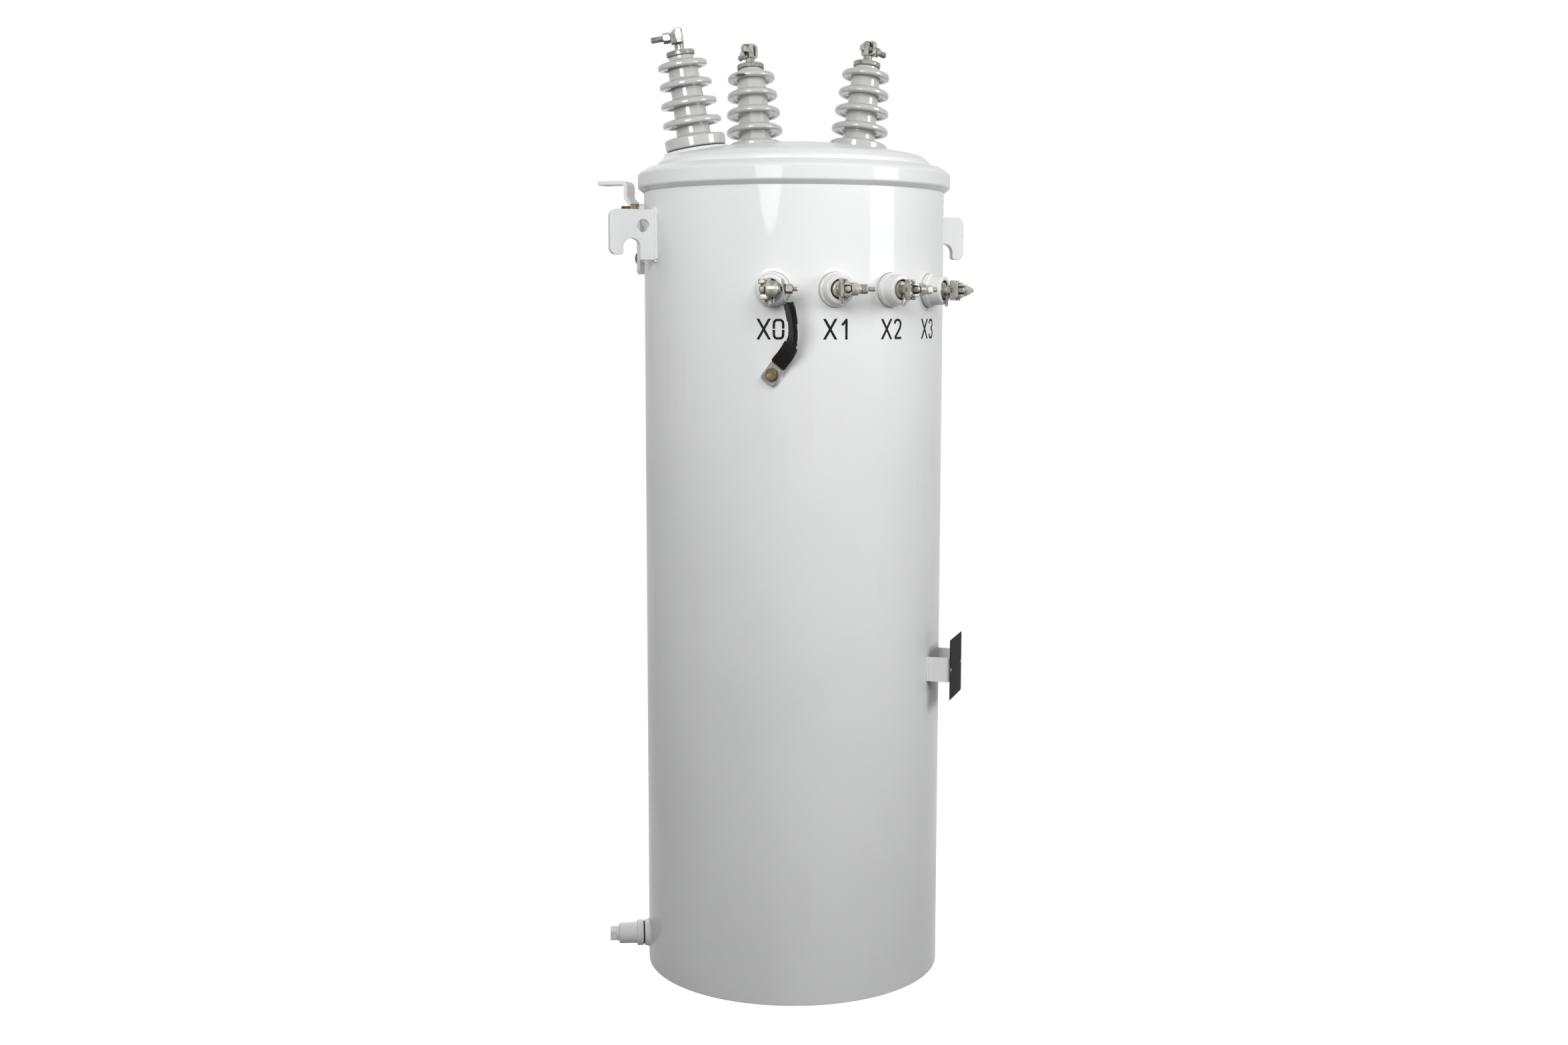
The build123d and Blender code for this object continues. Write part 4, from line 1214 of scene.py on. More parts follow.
@dataclass
class HighBushing(Bushing):
    """One shedded porcelain bushing with its cap and clamp terminal."""

    finish: Finish
    clamp_rise: float = 225.7
    base_radius: float = 61.8
    base_height: float = 23
    shed_radii: tuple[float, ...] = (60, 57.2, 53.5, 50.5)
    first_shed: float = 52
    shed_pitch: float = 38.4
    rim: float = 6.2
    core: tuple[float, float] = (34, 29.4)
    neck_radius: float = 25.2
    cap_rise: float = 186
    cap_radius: float = 28.8
    cap_thickness: float = 10
    stud_radius: float = 9.7
    stud_length: float = 13.7
    rod: tuple[float, float] = (-3, 54.4)
    rod_radius: float = 6.3
    rod_pitch: float = 1.95
    nut: tuple[float, float] = (14.8, 29.8)
    nut_flats: float = 19.05

    @property
    def place(self) -> Matrix:
        """Frame at the foot of the porcelain, z up its axis."""
        axis = Vector(self.mount["axis"])
        return placed(self.spot - axis * self.clamp_rise, along(azimuth_of(axis)), axis)

    @property
    def clamp(self) -> Matrix:
        """Frame at the clamp's middle.

        Returns:
            The frame, y up the stud and z out along the rod.
        """
        axis = Vector(self.mount["axis"])
        side = along(azimuth_of(axis))
        return placed(self.spot, side, side.cross(axis))

    def porcelain(self) -> None:
        """Builds the porcelain with its rounded sheds."""
        corners = [(0, 0, 0), (self.base_radius - 0.6, 0, 3),
                   (self.base_radius, self.base_height - 0.5, 4.5),
                   (self.core[0] + 1, self.base_height + 1.5, 7)]
        last = len(self.shed_radii) - 1
        rim = self.rim
        for count, radius in enumerate(self.shed_radii):
            height = self.first_shed + count * self.shed_pitch
            below = self.core[0] + (self.core[1] - self.core[0]) * count / (last + 1)
            above = self.neck_radius if count == last else below - 0.6
            corners += [(below, height - 1.6, 5), (radius - 2.2 * rim, height - 0.45 * rim, 3),
                        (radius - 1.5 * rim, height - rim, 2.4), (radius, height - rim, rim),
                        (radius, height + rim, rim * 1.06), (above, height + rim + 2.9, 6)]
        corners += [(self.neck_radius, self.cap_rise, 0), (0, self.cap_rise, 0)]
        body = lathe(f"bushing_porcelain_{self.number}", rounded(corners, steps=7), self.place, 112,
                     crease=60)
        self.finish.dress(body, "hv_bushings")

    def cap(self) -> None:
        """Builds the spun cap on the neck."""
        low, r, t = self.cap_rise, self.cap_radius, self.cap_thickness
        profile = rounded([(0, low + 0.3, 0), (self.neck_radius + 0.5, low + 0.3, 0),
                           (r - 1.4, low - 0.6, 0.5), (r, low + 1.4, 1), (r, low + t, 2),
                           (r - 5, low + t + 0.1, 1), (self.stud_radius + 4, low + t, 2.5), (0, low + t, 0)])
        CAP_TIN.dress(lathe(f"bushing_cap_{self.number}", profile, self.place, 96, crease=40), "hv_caps")

    def terminal(self) -> None:
        """Builds the stud, blade, rod and nut."""
        clamp = self.clamp
        foot = self.cap_rise + self.cap_thickness
        head = foot + self.stud_length
        r = self.stud_radius
        collar = rounded([(0, foot - 1, 0), (r + 1.6, foot - 1, 0), (r + 1.4, foot + 0.8, 0.6),
                          (r, foot + 2, 1), (r, head - 1, 1.5), (r - 3.4, head + 2.4, 2),
                          (0, head + 2.4, 0)])
        barrel = lathe("barrel", collar, self.place, 56)
        outline = [(-5.6, -16.2, 1), (5.6, -16.2, 1), (5.2, -4.6, 2), (7, -3.6, 2), (17.2, -3.4, 2.6),
                   (17.2, 8.4, 2.6), (7, 8.6, 2), (5.6, 10, 2), (5, 14.5, 1.4), (-5, 14.5, 1.4),
                   (-5.4, 0, 8)]
        blade = plate("blade", [rounded(outline, True, 3)], (-10.1, -2.8), clamp, 1.1)
        rib = plate("rib", [box_ring(3.4, 27, 1.2)], (-10.6, -9), clamp, 0.7)
        rod = thread("rod", clamp, *self.rod, self.rod_radius, self.rod_pitch)
        nut = hexagon("nut", clamp, self.nut_flats, self.nut, (False, True), 1.4)
        TINNED.dress(joined(f"bushing_terminal_{self.number}", [barrel, blade, rib, rod, nut]),
                     "hv_terminals")

    def jaw(self) -> None:
        """Builds the clamp's jaw: a rounded frame on a tapered body."""
        sections = ((18.4, 21.8, 7.5, 14.5), (20.4, 24, 8.4, 13.4), (23.4, 26, 9, 11), (28, 28, 9, 8),
                    (33, 29.8, 8.6, 5.6), (35.8, 30.4, 8.4, 4.4), (37.2, 31.1, 8, 2.9), (37.4, 31.2, 8, -1),
                    (36.8, 31, 7.8, -2.1), (35.6, 29.8, 7.2, -2.5), (28, 22.2, 4, -2.5),
                    (26.8, 21, 3.6, -2.2), (26.2, 20.4, 3.4, -1.2), (25.6, 19.8, 3.4, 5.6),
                    (21, 16, 3.4, 7.2))
        rings = []
        for width, height, corner, z in sections:
            # The neck narrows from its top, so that its foot stays level.
            drop = 0.42 * max(0.0, 31.3 - height) if z > 3 else 0
            rings.append([(x, y - drop, z) for x, y in box_ring(width, height, corner, 5)])
        jaw = loft("jaw", rings, self.clamp, 34)
        lugs = []
        for middle_x, middle_y in ((-8.4, -12.9), (-8.4, 12.9), (8.4, -12.9), (8.4, 12.9)):
            spot = [(middle_x + x, middle_y + y) for x, y in box_ring(4.4, 5, 1.6)]
            lugs.append(plate("lug", [spot], (-4.2, 0), self.clamp, 1))
        # The first bushing's jaw is closed on one side.
        if self.number == "1":
            cheek = moved(self.clamp, 12.4, z=-3.4) @ Matrix.Rotation(math.pi / 2, 4, "Y")
            lugs.append(plate("cheek", [box_ring(12.6, 29.6, 3)], (0, 6.2), cheek, 1.6))
        TINNED.dress(joined(f"bushing_jaw_{self.number}", [jaw, *lugs]), "hv_clamps")

    def build(self) -> None:
        """Builds the bushing from its foot up."""
        self.porcelain()
        self.cap()
        self.terminal()
        self.jaw()


# ---------------------------------------------------------------- bushings in the wall


@dataclass
class LowBushing(Bushing):
    """One wall bushing with its cap and clamp terminal."""

    has_link: bool
    base_radius: float = 33
    base_length: float = 13
    body: tuple[float, float] = (29.6, 27.6)
    length: float = 38
    bore: tuple[float, float] = (19.5, 10)
    cap_radius: float = 17.5
    stud_radius: float = 9.5
    jaw_start: float = 48
    rod_height: float = 68.5
    rod_radius: float = 4.72
    rod_pitch: float = 1.6
    nut_flats: float = 15.9
    nut: tuple[float, float] = (29.3, 42)
    link_gap: float = 5.2

    @property
    def place(self) -> Matrix:
        """Frame on the wall at the bushing's axis, z outward."""
        return wall(self.azimuth, self.height)

    @property
    def rods(self) -> Matrix:
        """Frame on the wall at the bushing's axis, x outward and z along the clamp's rod."""
        return across(self.azimuth, self.height)

    def porcelain(self) -> None:
        """Builds the porcelain."""
        bore = self.bore[0]
        deep = self.length - self.bore[1]
        corners = [(self.base_radius, -5, 0), (self.base_radius, self.base_length - 1.4, 2.6),
                   (self.body[0] + 0.4, self.base_length + 0.4, 1.6),
                   (self.body[0], self.base_length + 2.4, 1), (self.body[1], self.length, 5),
                   (bore + 0.8, self.length, 1.6), (bore, self.length - 2, 1), (bore, deep, 0), (0, deep, 0)]
        place = self.place
        body = lathe(f"wall_porcelain_{self.number}", rounded(corners, steps=6), place, 96, crease=50)
        WALL_GLAZE.dress(body, "lv_bushings")
        ring = [(32.7, 1.3), (33.3, 1.5), (33.45, 1.9), (33.3, 2.3), (32.7, 2.5)]
        GREY_RUBBER.dress(lathe(f"wall_gasket_{self.number}", ring, place, 96, crease=80))
        seat = [(bore - 0.1, self.length - 3.4), (bore - 0.6, deep + 1.4), (bore - 3, deep + 0.6)]
        RUBBER.dress(lathe(f"wall_seat_{self.number}", seat, place, 96, crease=80))

    def terminal(self) -> None:
        """Builds the domed cap, stud, blade, rod and nut."""
        place, rods = self.place, self.rods
        r, start = self.stud_radius, self.jaw_start
        foot = self.length - self.bore[1] + 0.1
        dome = [(self.cap_radius, foot), (self.cap_radius, foot + 2.5)]
        for step in range(1, 8):
            angle = math.radians(12 * step)
            dome.append((9.4 + (self.cap_radius - 9.4) * math.cos(angle), foot + 2.5 + 6 * math.sin(angle)))
        dome += [(r, foot + 9.4), (r, start - 1.2), (r - 1, start - 0.3), (0, start - 0.3)]
        cap = lathe("cap", dome, place, 64, crease=40)
        neck = plate("neck", [box_ring(7, 12, 1.4)], (start - 2, 61), moved(place, -5.5))
        outline = [(-3.4, -31.4, 2.4), (5.4, -31.4, 3.2), (4.2, -22, 3), (3.4, -9, 0), (-2.6, -9, 0)]
        slot = [(1.2 + 1.1 * math.cos(a), -26.5 + 2.6 * math.sin(a)) for a in ring_angles(20)]
        leg = plate("leg", [rounded(outline, True), slot], (self.length + 1, self.length + 4), place, 0.8)
        outline = both_sides([(51.6, -8, 6), (52.5, -19.5, 1.6), (62.6, -19.5, 1.6), (63.6, -15.6, 1.4),
                              (67.7, -14.6, 1.8), (67.7, -7.2, 2)])
        blade = plate("blade", [rounded(outline, True, 3)], (-9, -2), rods, 1.2)
        rings = []
        tall, wide, level, aside = self.nose
        for x, share in ((60, 1), (75, 1.02), (78.2, 0.94), (80.3, 0.74), (81.2, 0.42)):
            ring = box_ring(tall * share, wide * share, 0.38 * wide * share, 4)
            rings.append([(x, level + u, aside + v) for u, v in ring])
        nose = loft("nose", rings, rods, 44)
        shift = self.link_gap if self.has_link else 0
        axis = moved(rods, self.rod_height)
        rod = thread("rod", axis, -1.5, 57, self.rod_radius, self.rod_pitch)
        pieces = [cap, neck, leg, blade, nose, rod]
        nut = hexagon("nut", axis, self.nut_flats, (self.nut[0] + shift, self.nut[1] + shift))
        if self.has_link:
            BOLT_STEEL.dress(nut)
            nut.name = "link_nut"
        else:
            pieces.append(nut)
        TINNED.dress(joined(f"wall_terminal_{self.number}", pieces), "lv_terminals")

    def jaw(self) -> None:
        """Builds the clamp's jaw with its open eye and barrel."""
        outline = both_sides(
            [(48, -19, 2.4), (66, -19, 2.4), (67, -15.4, 1.4), (75, -14.8, 1), (75, -9.2, 0), (55, -9.2, 2)]
        )
        claw = plate("claw", [rounded(outline, True, 3)], (-1.8, 4.2), self.rods, 1.2)
        parts = self.wide_eye() if self.has_link else self.open_eye()
        barrel = lathe("barrel", rounded(self.barrel_corners), moved(self.rods, self.rod_height), 64)
        TINNED.dress(joined(f"wall_jaw_{self.number}", [claw, barrel, *parts]), "lv_clamps")

    @property
    def nose(self) -> tuple[float, float, float, float]:
        """Height and width of the rod's nose, then how far it stands up and along the rod."""
        return (13.4, 11.6, 0.8, -9.2) if self.has_link else (11.2, 9, -0.4, 2.6)

    @property
    def barrel_corners(self) -> list[Corner]:
        """Corners of the barrel round the rod.

        Returns:
            Radius, place along the rod and rounding of each corner.
        """
        if self.has_link:
            sides = [(14.2, -2.4, 1.4), (14.9, 2, 4), (14.9, 18, 5), (9.6, 23.2, 3), (8.6, 25.4, 0.6)]
        else:
            sides = [(11.6, 9, 0.5), (12.2, 13, 3), (12.2, 21.4, 2.6), (9.4, 25.4, 2), (9, 29, 0.8)]
        return [(0, sides[0][1], 0), *sides, (0, sides[-1][1], 0)]

    def open_eye(self) -> list[bpy.types.Object]:
        """Builds the ring that is open towards the blade, with its small set bolt.

        Returns:
            The pieces.
        """
        outline = [(-4.4, 7.2, 1.6), (-4.4, 11.8, 2.6), (6, 12.2, 7), (12.4, 6, 7), (12.4, -7.4, 7),
                   (6, -13.8, 7), (-4.4, -13.4, 2.6), (-4.4, -8.4, 1.6), (4.4, -8, 5), (8.4, -5, 3.4),
                   (8.4, 3.8, 3.4), (4.4, 6.6, 5)]
        ring = plate("ring", [rounded(outline, True, 5)], (63, 75.6), self.place, 1.8)
        bolt = rounded([(2.5, 58, 0), (2.5, 67.6, 1.6), (0, 68.4, 0)])
        knob = lathe("knob", bolt, moved(self.place, 5.6, -17.2), 24)
        back = plate("back", [box_ring(15, 25, 5)], (59.5, 65), moved(self.place, 5, -0.8), 1.2)
        return [ring, knob, back]

    def wide_eye(self) -> list[bpy.types.Object]:
        """Builds the two arms beside the nose and the legs below the barrel.

        Returns:
            The pieces.
        """
        upper = rounded([(-17.4, 9.4, 1), (-16.6, 18.8, 2), (-8, 18.2, 2), (-2, 14.6, 2), (-2, 9.2, 0)],
                        True, 3)
        lower = rounded([(-13.4, -20.4, 2), (-14.6, -10, 1), (-2, -9.6, 0), (1.6, -16.6, 3),
                         (0.4, -19.6, 2)], True, 3)
        arms = [plate("arm", [outline], (63, 75), self.place, 1.7) for outline in (upper, lower)]
        web = plate("web", [box_ring(9, 34, 2)], (56, 63), moved(self.place, -8, -0.6), 1)
        legs = []
        for centre, width, drop in ((2.4, 7, 28.5), (9.6, 3, 27), (-6, 4, 25)):
            left, right = centre - width / 2, centre + width / 2
            outline = [(left, -drop, 1), (right, -drop, 1), (right, -10, 0), (left, -10, 0)]
            outline = rounded(outline, True, 3)
            legs.append(plate("leg", [outline], (47, 56), self.place, 0.8))
        return [*arms, web, *legs]

    def build(self) -> None:
        """Builds the bushing from the wall outward."""
        self.porcelain()
        self.terminal()
        self.jaw()


# ---------------------------------------------------------------- brackets on the wall


@dataclass
class LiftingLug:
    """Plate with a lifting eye above a hook, welded to the wall."""

    side: str
    reach: float = 97
    height: float = 99
    nose_height: float = 88.5
    thickness: float = 12
    corner: float = 15
    eye: tuple[float, float, float] = (27.3, 32, 12.7)
    hook_inner: float = 34
    hook_width: float = 35.5
    hook_crown: float = 56.5

    def build(self) -> None:
        """Builds the plate and its weld."""
        node = f"lifting_lug_{self.side}"
        low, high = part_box(node)
        azimuth = azimuth_of((low + high) / 2)
        place = beside(azimuth, high.z / MM)
        inner, wide = self.hook_inner, self.hook_width
        arch = self.hook_crown + wide / 2
        centre = inner + wide / 2
        bend = [math.radians(180 - 180 * step / 20) for step in range(21)]
        arc = [(centre + wide / 2 * math.cos(a), -arch + wide / 2 * math.sin(a)) for a in bend]
        start = rounded([(0, 0, 0), (self.reach, 0, self.corner),
                         (self.reach, -self.nose_height, self.corner), (inner + wide, -self.nose_height, 11),
                         (inner + wide, -arch - 1, 0)], steps=9)
        foot = -self.height
        end = rounded([(inner, -arch - 1, 0), (inner, -self.nose_height, 2), (inner - 0.5, foot, 1),
                       (0, foot, 0)])
        outline = start + list(reversed(arc)) + end
        x, drop, radius = self.eye
        eye = circle(radius, 48, x, -drop)
        half = self.thickness / 2
        body = plate("plate", [outline, eye], (-half, half), place, 1.3)
        side = half + 1
        lines = [[(1.4, y, way * side) for y in (-self.height + 1, -1)] for way in (-1, 1)]
        lines += [[(1.2, y, way * side) for way in (-1, 1)] for y in (0.8, -self.height - 0.8)]
        welds = [bead("weld", [place @ Vector(point) for point in line], 3.6, 6) for line in lines]
        ENAMEL.dress(joined(f"{self.side}_lug", [body, *welds]), node)


@dataclass
class ArresterBracket:
    """Bent bar beside the cover, held by two black bolts."""

    azimuth: float = azimuth_of(middle("arrester_bracket"))
    width: float = 42
    thickness: float = 8
    tab_reach: float = 126
    upright: float = 61
    leg: float = 32
    tab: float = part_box("arrester_bracket")[1].z / MM - 4
    jog: tuple[float, float] = (1600, 1566)
    foot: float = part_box("arrester_bracket")[0].z / MM
    hole_inset: float = 20
    hole_radius: float = 7.1
    tip_corner: float = 7
    bolt_flats: float = 22.2
    bolt_head: float = 8.2
    bolt_inset: float = 12.82

    def bar(self) -> None:
        """Builds the bent bar with its hole."""
        outward, up = direction(self.azimuth), Vector((0, 0, 1))
        place = placed(outward * TANK_RADIUS, outward, up)
        line = [(self.tab_reach, self.tab, 0), (self.upright, self.tab, 9), (self.upright, self.jog[0], 16),
                (self.leg, self.jog[1], 16), (self.leg, self.foot, 0)]
        total = self.tab_reach - self.upright + self.tab - self.foot + 6

        def width(distance: float) -> float:
            """Rounds the bar in at its tip and a little at its foot.

            Args:
                distance: how far it is from the tip.

            Returns:
                The bar's width there.
            """
            corner = self.tip_corner
            gap = max(min(distance, total - distance, corner), 0)
            return self.width - 2 * (corner - math.sqrt(corner**2 - (corner - gap) ** 2))

        bar = strap("arrester_bar", line, width, self.thickness, place, 1.2)
        hole = moved(place, self.tab_reach - self.hole_inset)
        drill(bar, hole, self.hole_radius, (self.tab - 10, self.tab + 10))
        ENAMEL.dress(bar, "arrester_bracket")

    def bolts(self) -> None:
        """Builds the two bolt heads and their washers."""
        low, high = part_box("arrester_bolts")
        heads = []
        for height in (low.z / MM + self.bolt_inset, high.z / MM - self.bolt_inset):
            place = wall(self.azimuth, height, self.leg + self.thickness / 2)
            heads.append(hexagon("head", place, self.bolt_flats, (0.1, self.bolt_head), (False, True), 1.2))
            ring = [(0, 1.1), (11.9, 1.1), (12.2, 0.8), (12.2, 0.1), (0, 0.1)]
            heads.append(lathe("washer", ring, place, 48))
        BLACK_BOLT.dress(joined("arrester_bolt_heads", heads), "arrester_bolts")

    def build(self) -> None:
        """Builds the bracket."""
        self.bar()
        self.bolts()


@dataclass
class GroundStud:
    """Threaded stud and nut high on the wall."""

    reach: float = 47
    start: float = 11.2
    radius: float = 4.76
    pitch: float = 1.6
    nut_end: float = 28
    nut_flats: float = 15.9

    def build(self) -> None:
        """Builds the stud, its nut and washer."""
        place = wall_at("ground_stud")
        rod = thread("rod", place, self.start, self.reach - 0.1, self.radius, self.pitch)
        nut = hexagon("nut", place, self.nut_flats, (self.start + 4, self.nut_end))
        rings = [(0, 11.3), (11.4, 11.3), (11.7, 11.7), (11.7, 12.9), (11.4, 13.2), (8.4, 13.3), (8.3, 15.2),
                 (0, 15.2)]
        washer = lathe("washer", rings, place, 48)
        YELLOW_ZINC.dress(joined("wall_stud", [rod, nut, washer]), "ground_stud")


@dataclass
class Drain:
    """Drain valve low on the wall, with its gasket and hexagon plug."""

    boss: float = 9.5
    seal: tuple[float, float] = (24.2, 3)
    collar: tuple[float, float] = (27.2, 12.6)
    body: tuple[float, float] = (21.9, 37.8)
    nose: tuple[float, float] = (15, 6.3)
    plug: tuple[float, float] = (27, 12.6)

    def build(self) -> None:
        """Builds the valve from the boss outward."""
        place = wall_at("drain_seal")
        start = self.boss + 0.2 + self.seal[1]
        collar_end = start + self.collar[1]
        body_end = collar_end + self.body[1]
        nose_end = body_end + self.nose[1]
        wide = self.collar[0]
        profile = rounded([(0, start, 0), (wide - 0.4, start, 1), (wide, start + 4.4, 1),
                           (wide - 1.6, start + 5.4, 0.6), (wide - 0.2, start + 6.4, 1),
                           (wide - 0.4, collar_end, 2.4), (self.body[0], collar_end + 1, 1.6),
                           (self.body[0] - 0.3, body_end, 5), (self.nose[0] + 0.6, body_end + 1, 2),
                           (self.nose[0], nose_end, 1), (0, nose_end, 0)], steps=6)
        ENAMEL.dress(lathe("drain_body", profile, place, 80, crease=42), "drain_valve")
        flats, tall = self.plug
        head = hexagon("drain_head", place, flats, (nose_end + 0.2, nose_end + tall), (False, True))
        ENAMEL.dress(head, "drain_plug")
        r, low = self.seal[0], self.boss
        high = low + self.seal[1]
        ring = [(0, low), (r - 0.6, low), (r, low + 0.9), (r, high - 0.5), (r - 0.6, high + 0.3),
                (0, high + 0.3)]
        RUBBER.dress(lathe("drain_gasket", ring, place, 72, crease=60), "drain_seal")


@dataclass
class Nameplate:
    """Plain black plate riveted to a bent strap."""

    width: float = 114
    height: float = 123
    thickness: float = 1.2
    standoff: float = 41.5
    span: float = 112
    strap_height: float = 50
    strap_thickness: float = 3
    bend: float = 7.5
    rivet_reach: float = 51

    def build(self) -> None:
        """Builds the strap, plate, rivets and welds."""
        place = wall_at("nameplate")
        top = self.standoff + self.thickness
        sheet = plate("plate", [box_ring(self.width, self.height, 2.5)], (self.standoff, top), place, 0.3)
        BLACK_PLATE.dress(sheet, "nameplate")
        half = self.span / 2 - self.strap_thickness / 2
        sag = wall_fall(half)
        front = self.standoff - self.strap_thickness / 2 - 0.1
        line = [(-half, sag - 1, 0), (-half, front, self.bend), (half, front, self.bend), (half, sag - 1, 0)]
        body = strap("strap", line, lambda distance: self.strap_height, self.strap_thickness, place, 0.7)
        welds = []
        for side in (-1, 1):
            ends = [Vector((side * (half + 2.2), way * self.strap_height / 2, sag + 0.8)) for way in (-1, 1)]
            welds.append(bead("weld", [place @ end for end in ends], 2.6, 4))
        ENAMEL.dress(joined("plate_strap", [body, *welds]), "nameplate_bracket")
        dome = [(0, -0.2), (3.4, -0.1), (3.4, 0.2), (2.9, 0.75), (1.6, 1.15), (0, 1.25)]
        dome = [(radius, top + rise) for radius, rise in dome]
        rivets = [lathe("rivet", dome, moved(place, side * self.rivet_reach), 28) for side in (-1, 1)]
        BOLT_STEEL.dress(joined("plate_rivets", rivets))


@dataclass
class GroundLink:
    """Sleeved copper strap from the first wall terminal down to the ground pad."""

    azimuth: float = azimuth_of(mounts("lv_terminal")[0]["pos_m"])
    height: float = mounts("lv_terminal")[0]["pos_m"][2] / MM
    rod_height: float = 68.5
    seat: float = 29.2
    lug_thickness: float = 3
    lug_width: float = 25
    drop: float = 160.7
    pad: float = 9
    lean: float = 53
    pad_size: tuple[float, float] = (36, 32)
    bolt_flats: float = 19.05
    lug_path: tuple[tuple[float, Point, float], ...] = (
        (-2.6, (18.3, 68.5), 90), (-1.4, (9, 68.5), 90), (-0.1, (0, 68.5), 90), (0.8, (-9, 68.5), 88),
        (1.2, (-17, 68.3), 84), (1.8, (-25.5, 68), 74), (6.5, (-29, 67.6), 60), (13, (-33, 66.5), 56),
    )
    sleeve_path: tuple[tuple[Corner, float], ...] = (
        ((38.5, -26, 68), 57), ((42, -36, 67.8), 57), ((44, -50, 63), 56), ((45.2, -66, 55.5), 54),
        ((45.2, -82, 46), 50), ((42.2, -97, 35.5), 40), ((36.6, -110, 25.5), 24), ((27, -124, 17), 8),
        ((18, -134, 13.2), 0), ((11, -142.6, 11.6), 0),
    )
    laps: tuple[float, float] = (0.27, 0.64)
    wrinkles: tuple[Corner, ...] = (
        (0.455, 0.006, 0.9), (0.58, 0.018, 1.5), (0.615, 0.01, -0.5), (0.69, 0.008, 0.5),
        (0.72, 0.01, -0.3), (0.08, 0.02, 0.6),
    )

    @property
    def rod(self) -> Matrix:
        """Frame on the clamp rod's axis at the bushing, z along the rod."""
        return moved(across(self.azimuth, self.height), self.rod_height)

    def at(self, x: float, y: float, out: float) -> Vector:
        """Point along the wall, up from the terminal's axis and out from the wall."""
        return wall(self.azimuth, self.height) @ Vector((x, y, out))

    def route(self, stations: Sequence[tuple[Corner, float]]) -> list[tuple[Vector, Vector]]:
        """Runs a smooth line through the link's stations.

        Args:
            stations: along, up and out of each point, then the turn of the strap's width in degrees,
                where 90 is out from the wall and 0 along it.

        Returns:
            Points in millimetres, each with the direction of the strap's width.
        """
        curve = bpy.data.curves.new("route", "CURVE")
        curve.dimensions = "3D"
        spline = curve.splines.new("NURBS")
        spline.points.add(len(stations) - 1)
        spline.points.foreach_set("co", [value for place, _ in stations for value in (*self.at(*place), 1)])
        spline.order_u = 3
        spline.use_endpoint_u = True
        spline.resolution_u = 16
        line = linked("route", curve)
        points = [vertex.co.copy() for vertex in evaluated(line).vertices]
        bpy.data.objects.remove(line)
        result = []
        for index, point in enumerate(points):
            share = index / (len(points) - 1) * (len(stations) - 1)
            low = min(int(share), len(stations) - 2)
            turn = stations[low][1] + (stations[low + 1][1] - stations[low][1]) * (share - low)
            ahead = heading(points, index).normalized()
            level = ahead.cross(direction(self.azimuth))
            if level.dot(along(self.azimuth)) < 0:
                level.negate()
            level = squared(level, ahead).normalized()
            result.append((point, Matrix.Rotation(math.radians(turn), 3, ahead) @ level))
        return result

    def ribbon(
        self,
        name: str,
        route: Sequence[tuple[Vector, Vector]],
        size: Callable[[float, Vector], Corner],
    ) -> bpy.types.Object:
        """Sweeps a rounded bar along a route.

        Args:
            name: the piece's name.
            route: points and width directions.
            size: width, thickness and corner at a share of the length and a point.

        Returns:
            The new object.
        """
        points = [point for point, _ in route]
        lengths = [0.0]
        for start, end in zip(points, points[1:]):
            lengths.append(lengths[-1] + (end - start).length)
        rings = []
        for index, (point, wide) in enumerate(route):
            ahead = heading(points, index).normalized()
            wide = squared(wide, ahead).normalized()
            thick = ahead.cross(wide)
            width, thickness, corner = size(lengths[index] / lengths[-1], point)
            ring = box_ring(width, thickness, corner, 4)
            rings.append([tuple(point + wide * u + thick * v) for u, v in ring])
        return loft(name, rings, Matrix(), 50)

    def lug_size(self, share: float) -> Corner:
        """Sizes the upper lug, rounded in at its tip.

        Args:
            share: share of the lug's length.

        Returns:
            Width, thickness and corner of its section.
        """
        gap = min(share * 60, 4)
        inset = 4 - math.sqrt(16 - (4 - gap) ** 2)
        return self.lug_width - 2 * inset, self.lug_thickness - 0.4, 1.0

    def upper_lug(self) -> bpy.types.Object:
        """Builds the upper lug, which leans on the barrel and turns into the sleeve.

        Returns:
            The lug.
        """
        x = self.seat + self.lug_thickness / 2
        route = self.route([((x + out, *place), turn) for out, place, turn in self.lug_path])
        lug = self.ribbon("upper", route, lambda share, _: self.lug_size(share))
        return drill(lug, self.rod, 4.9, (self.seat - 8, self.seat + 12))

    def lugs(self) -> None:
        """Builds both lugs."""
        lower = turned(wall(self.azimuth, self.height - self.drop, self.pad + 0.2), self.lean)
        long, wide = self.pad_size
        outline = rounded([(-long / 2, -wide / 2 + 3, 10), (-long / 2 + 7, -wide / 2, 10),
                           (long / 2 + 8, -wide / 2, 1), (long / 2 + 8, wide / 2, 1),
                           (-long / 2 + 5, wide / 2, 6), (-long / 2, wide / 2 - 3, 8)], True)
        foot = plate("lower", [outline, circle(6.5, 32)], (0, self.lug_thickness), lower, 0.7)
        COPPER_TIN.dress(joined("link_lug_pair", [self.upper_lug(), foot]), "link_lugs")

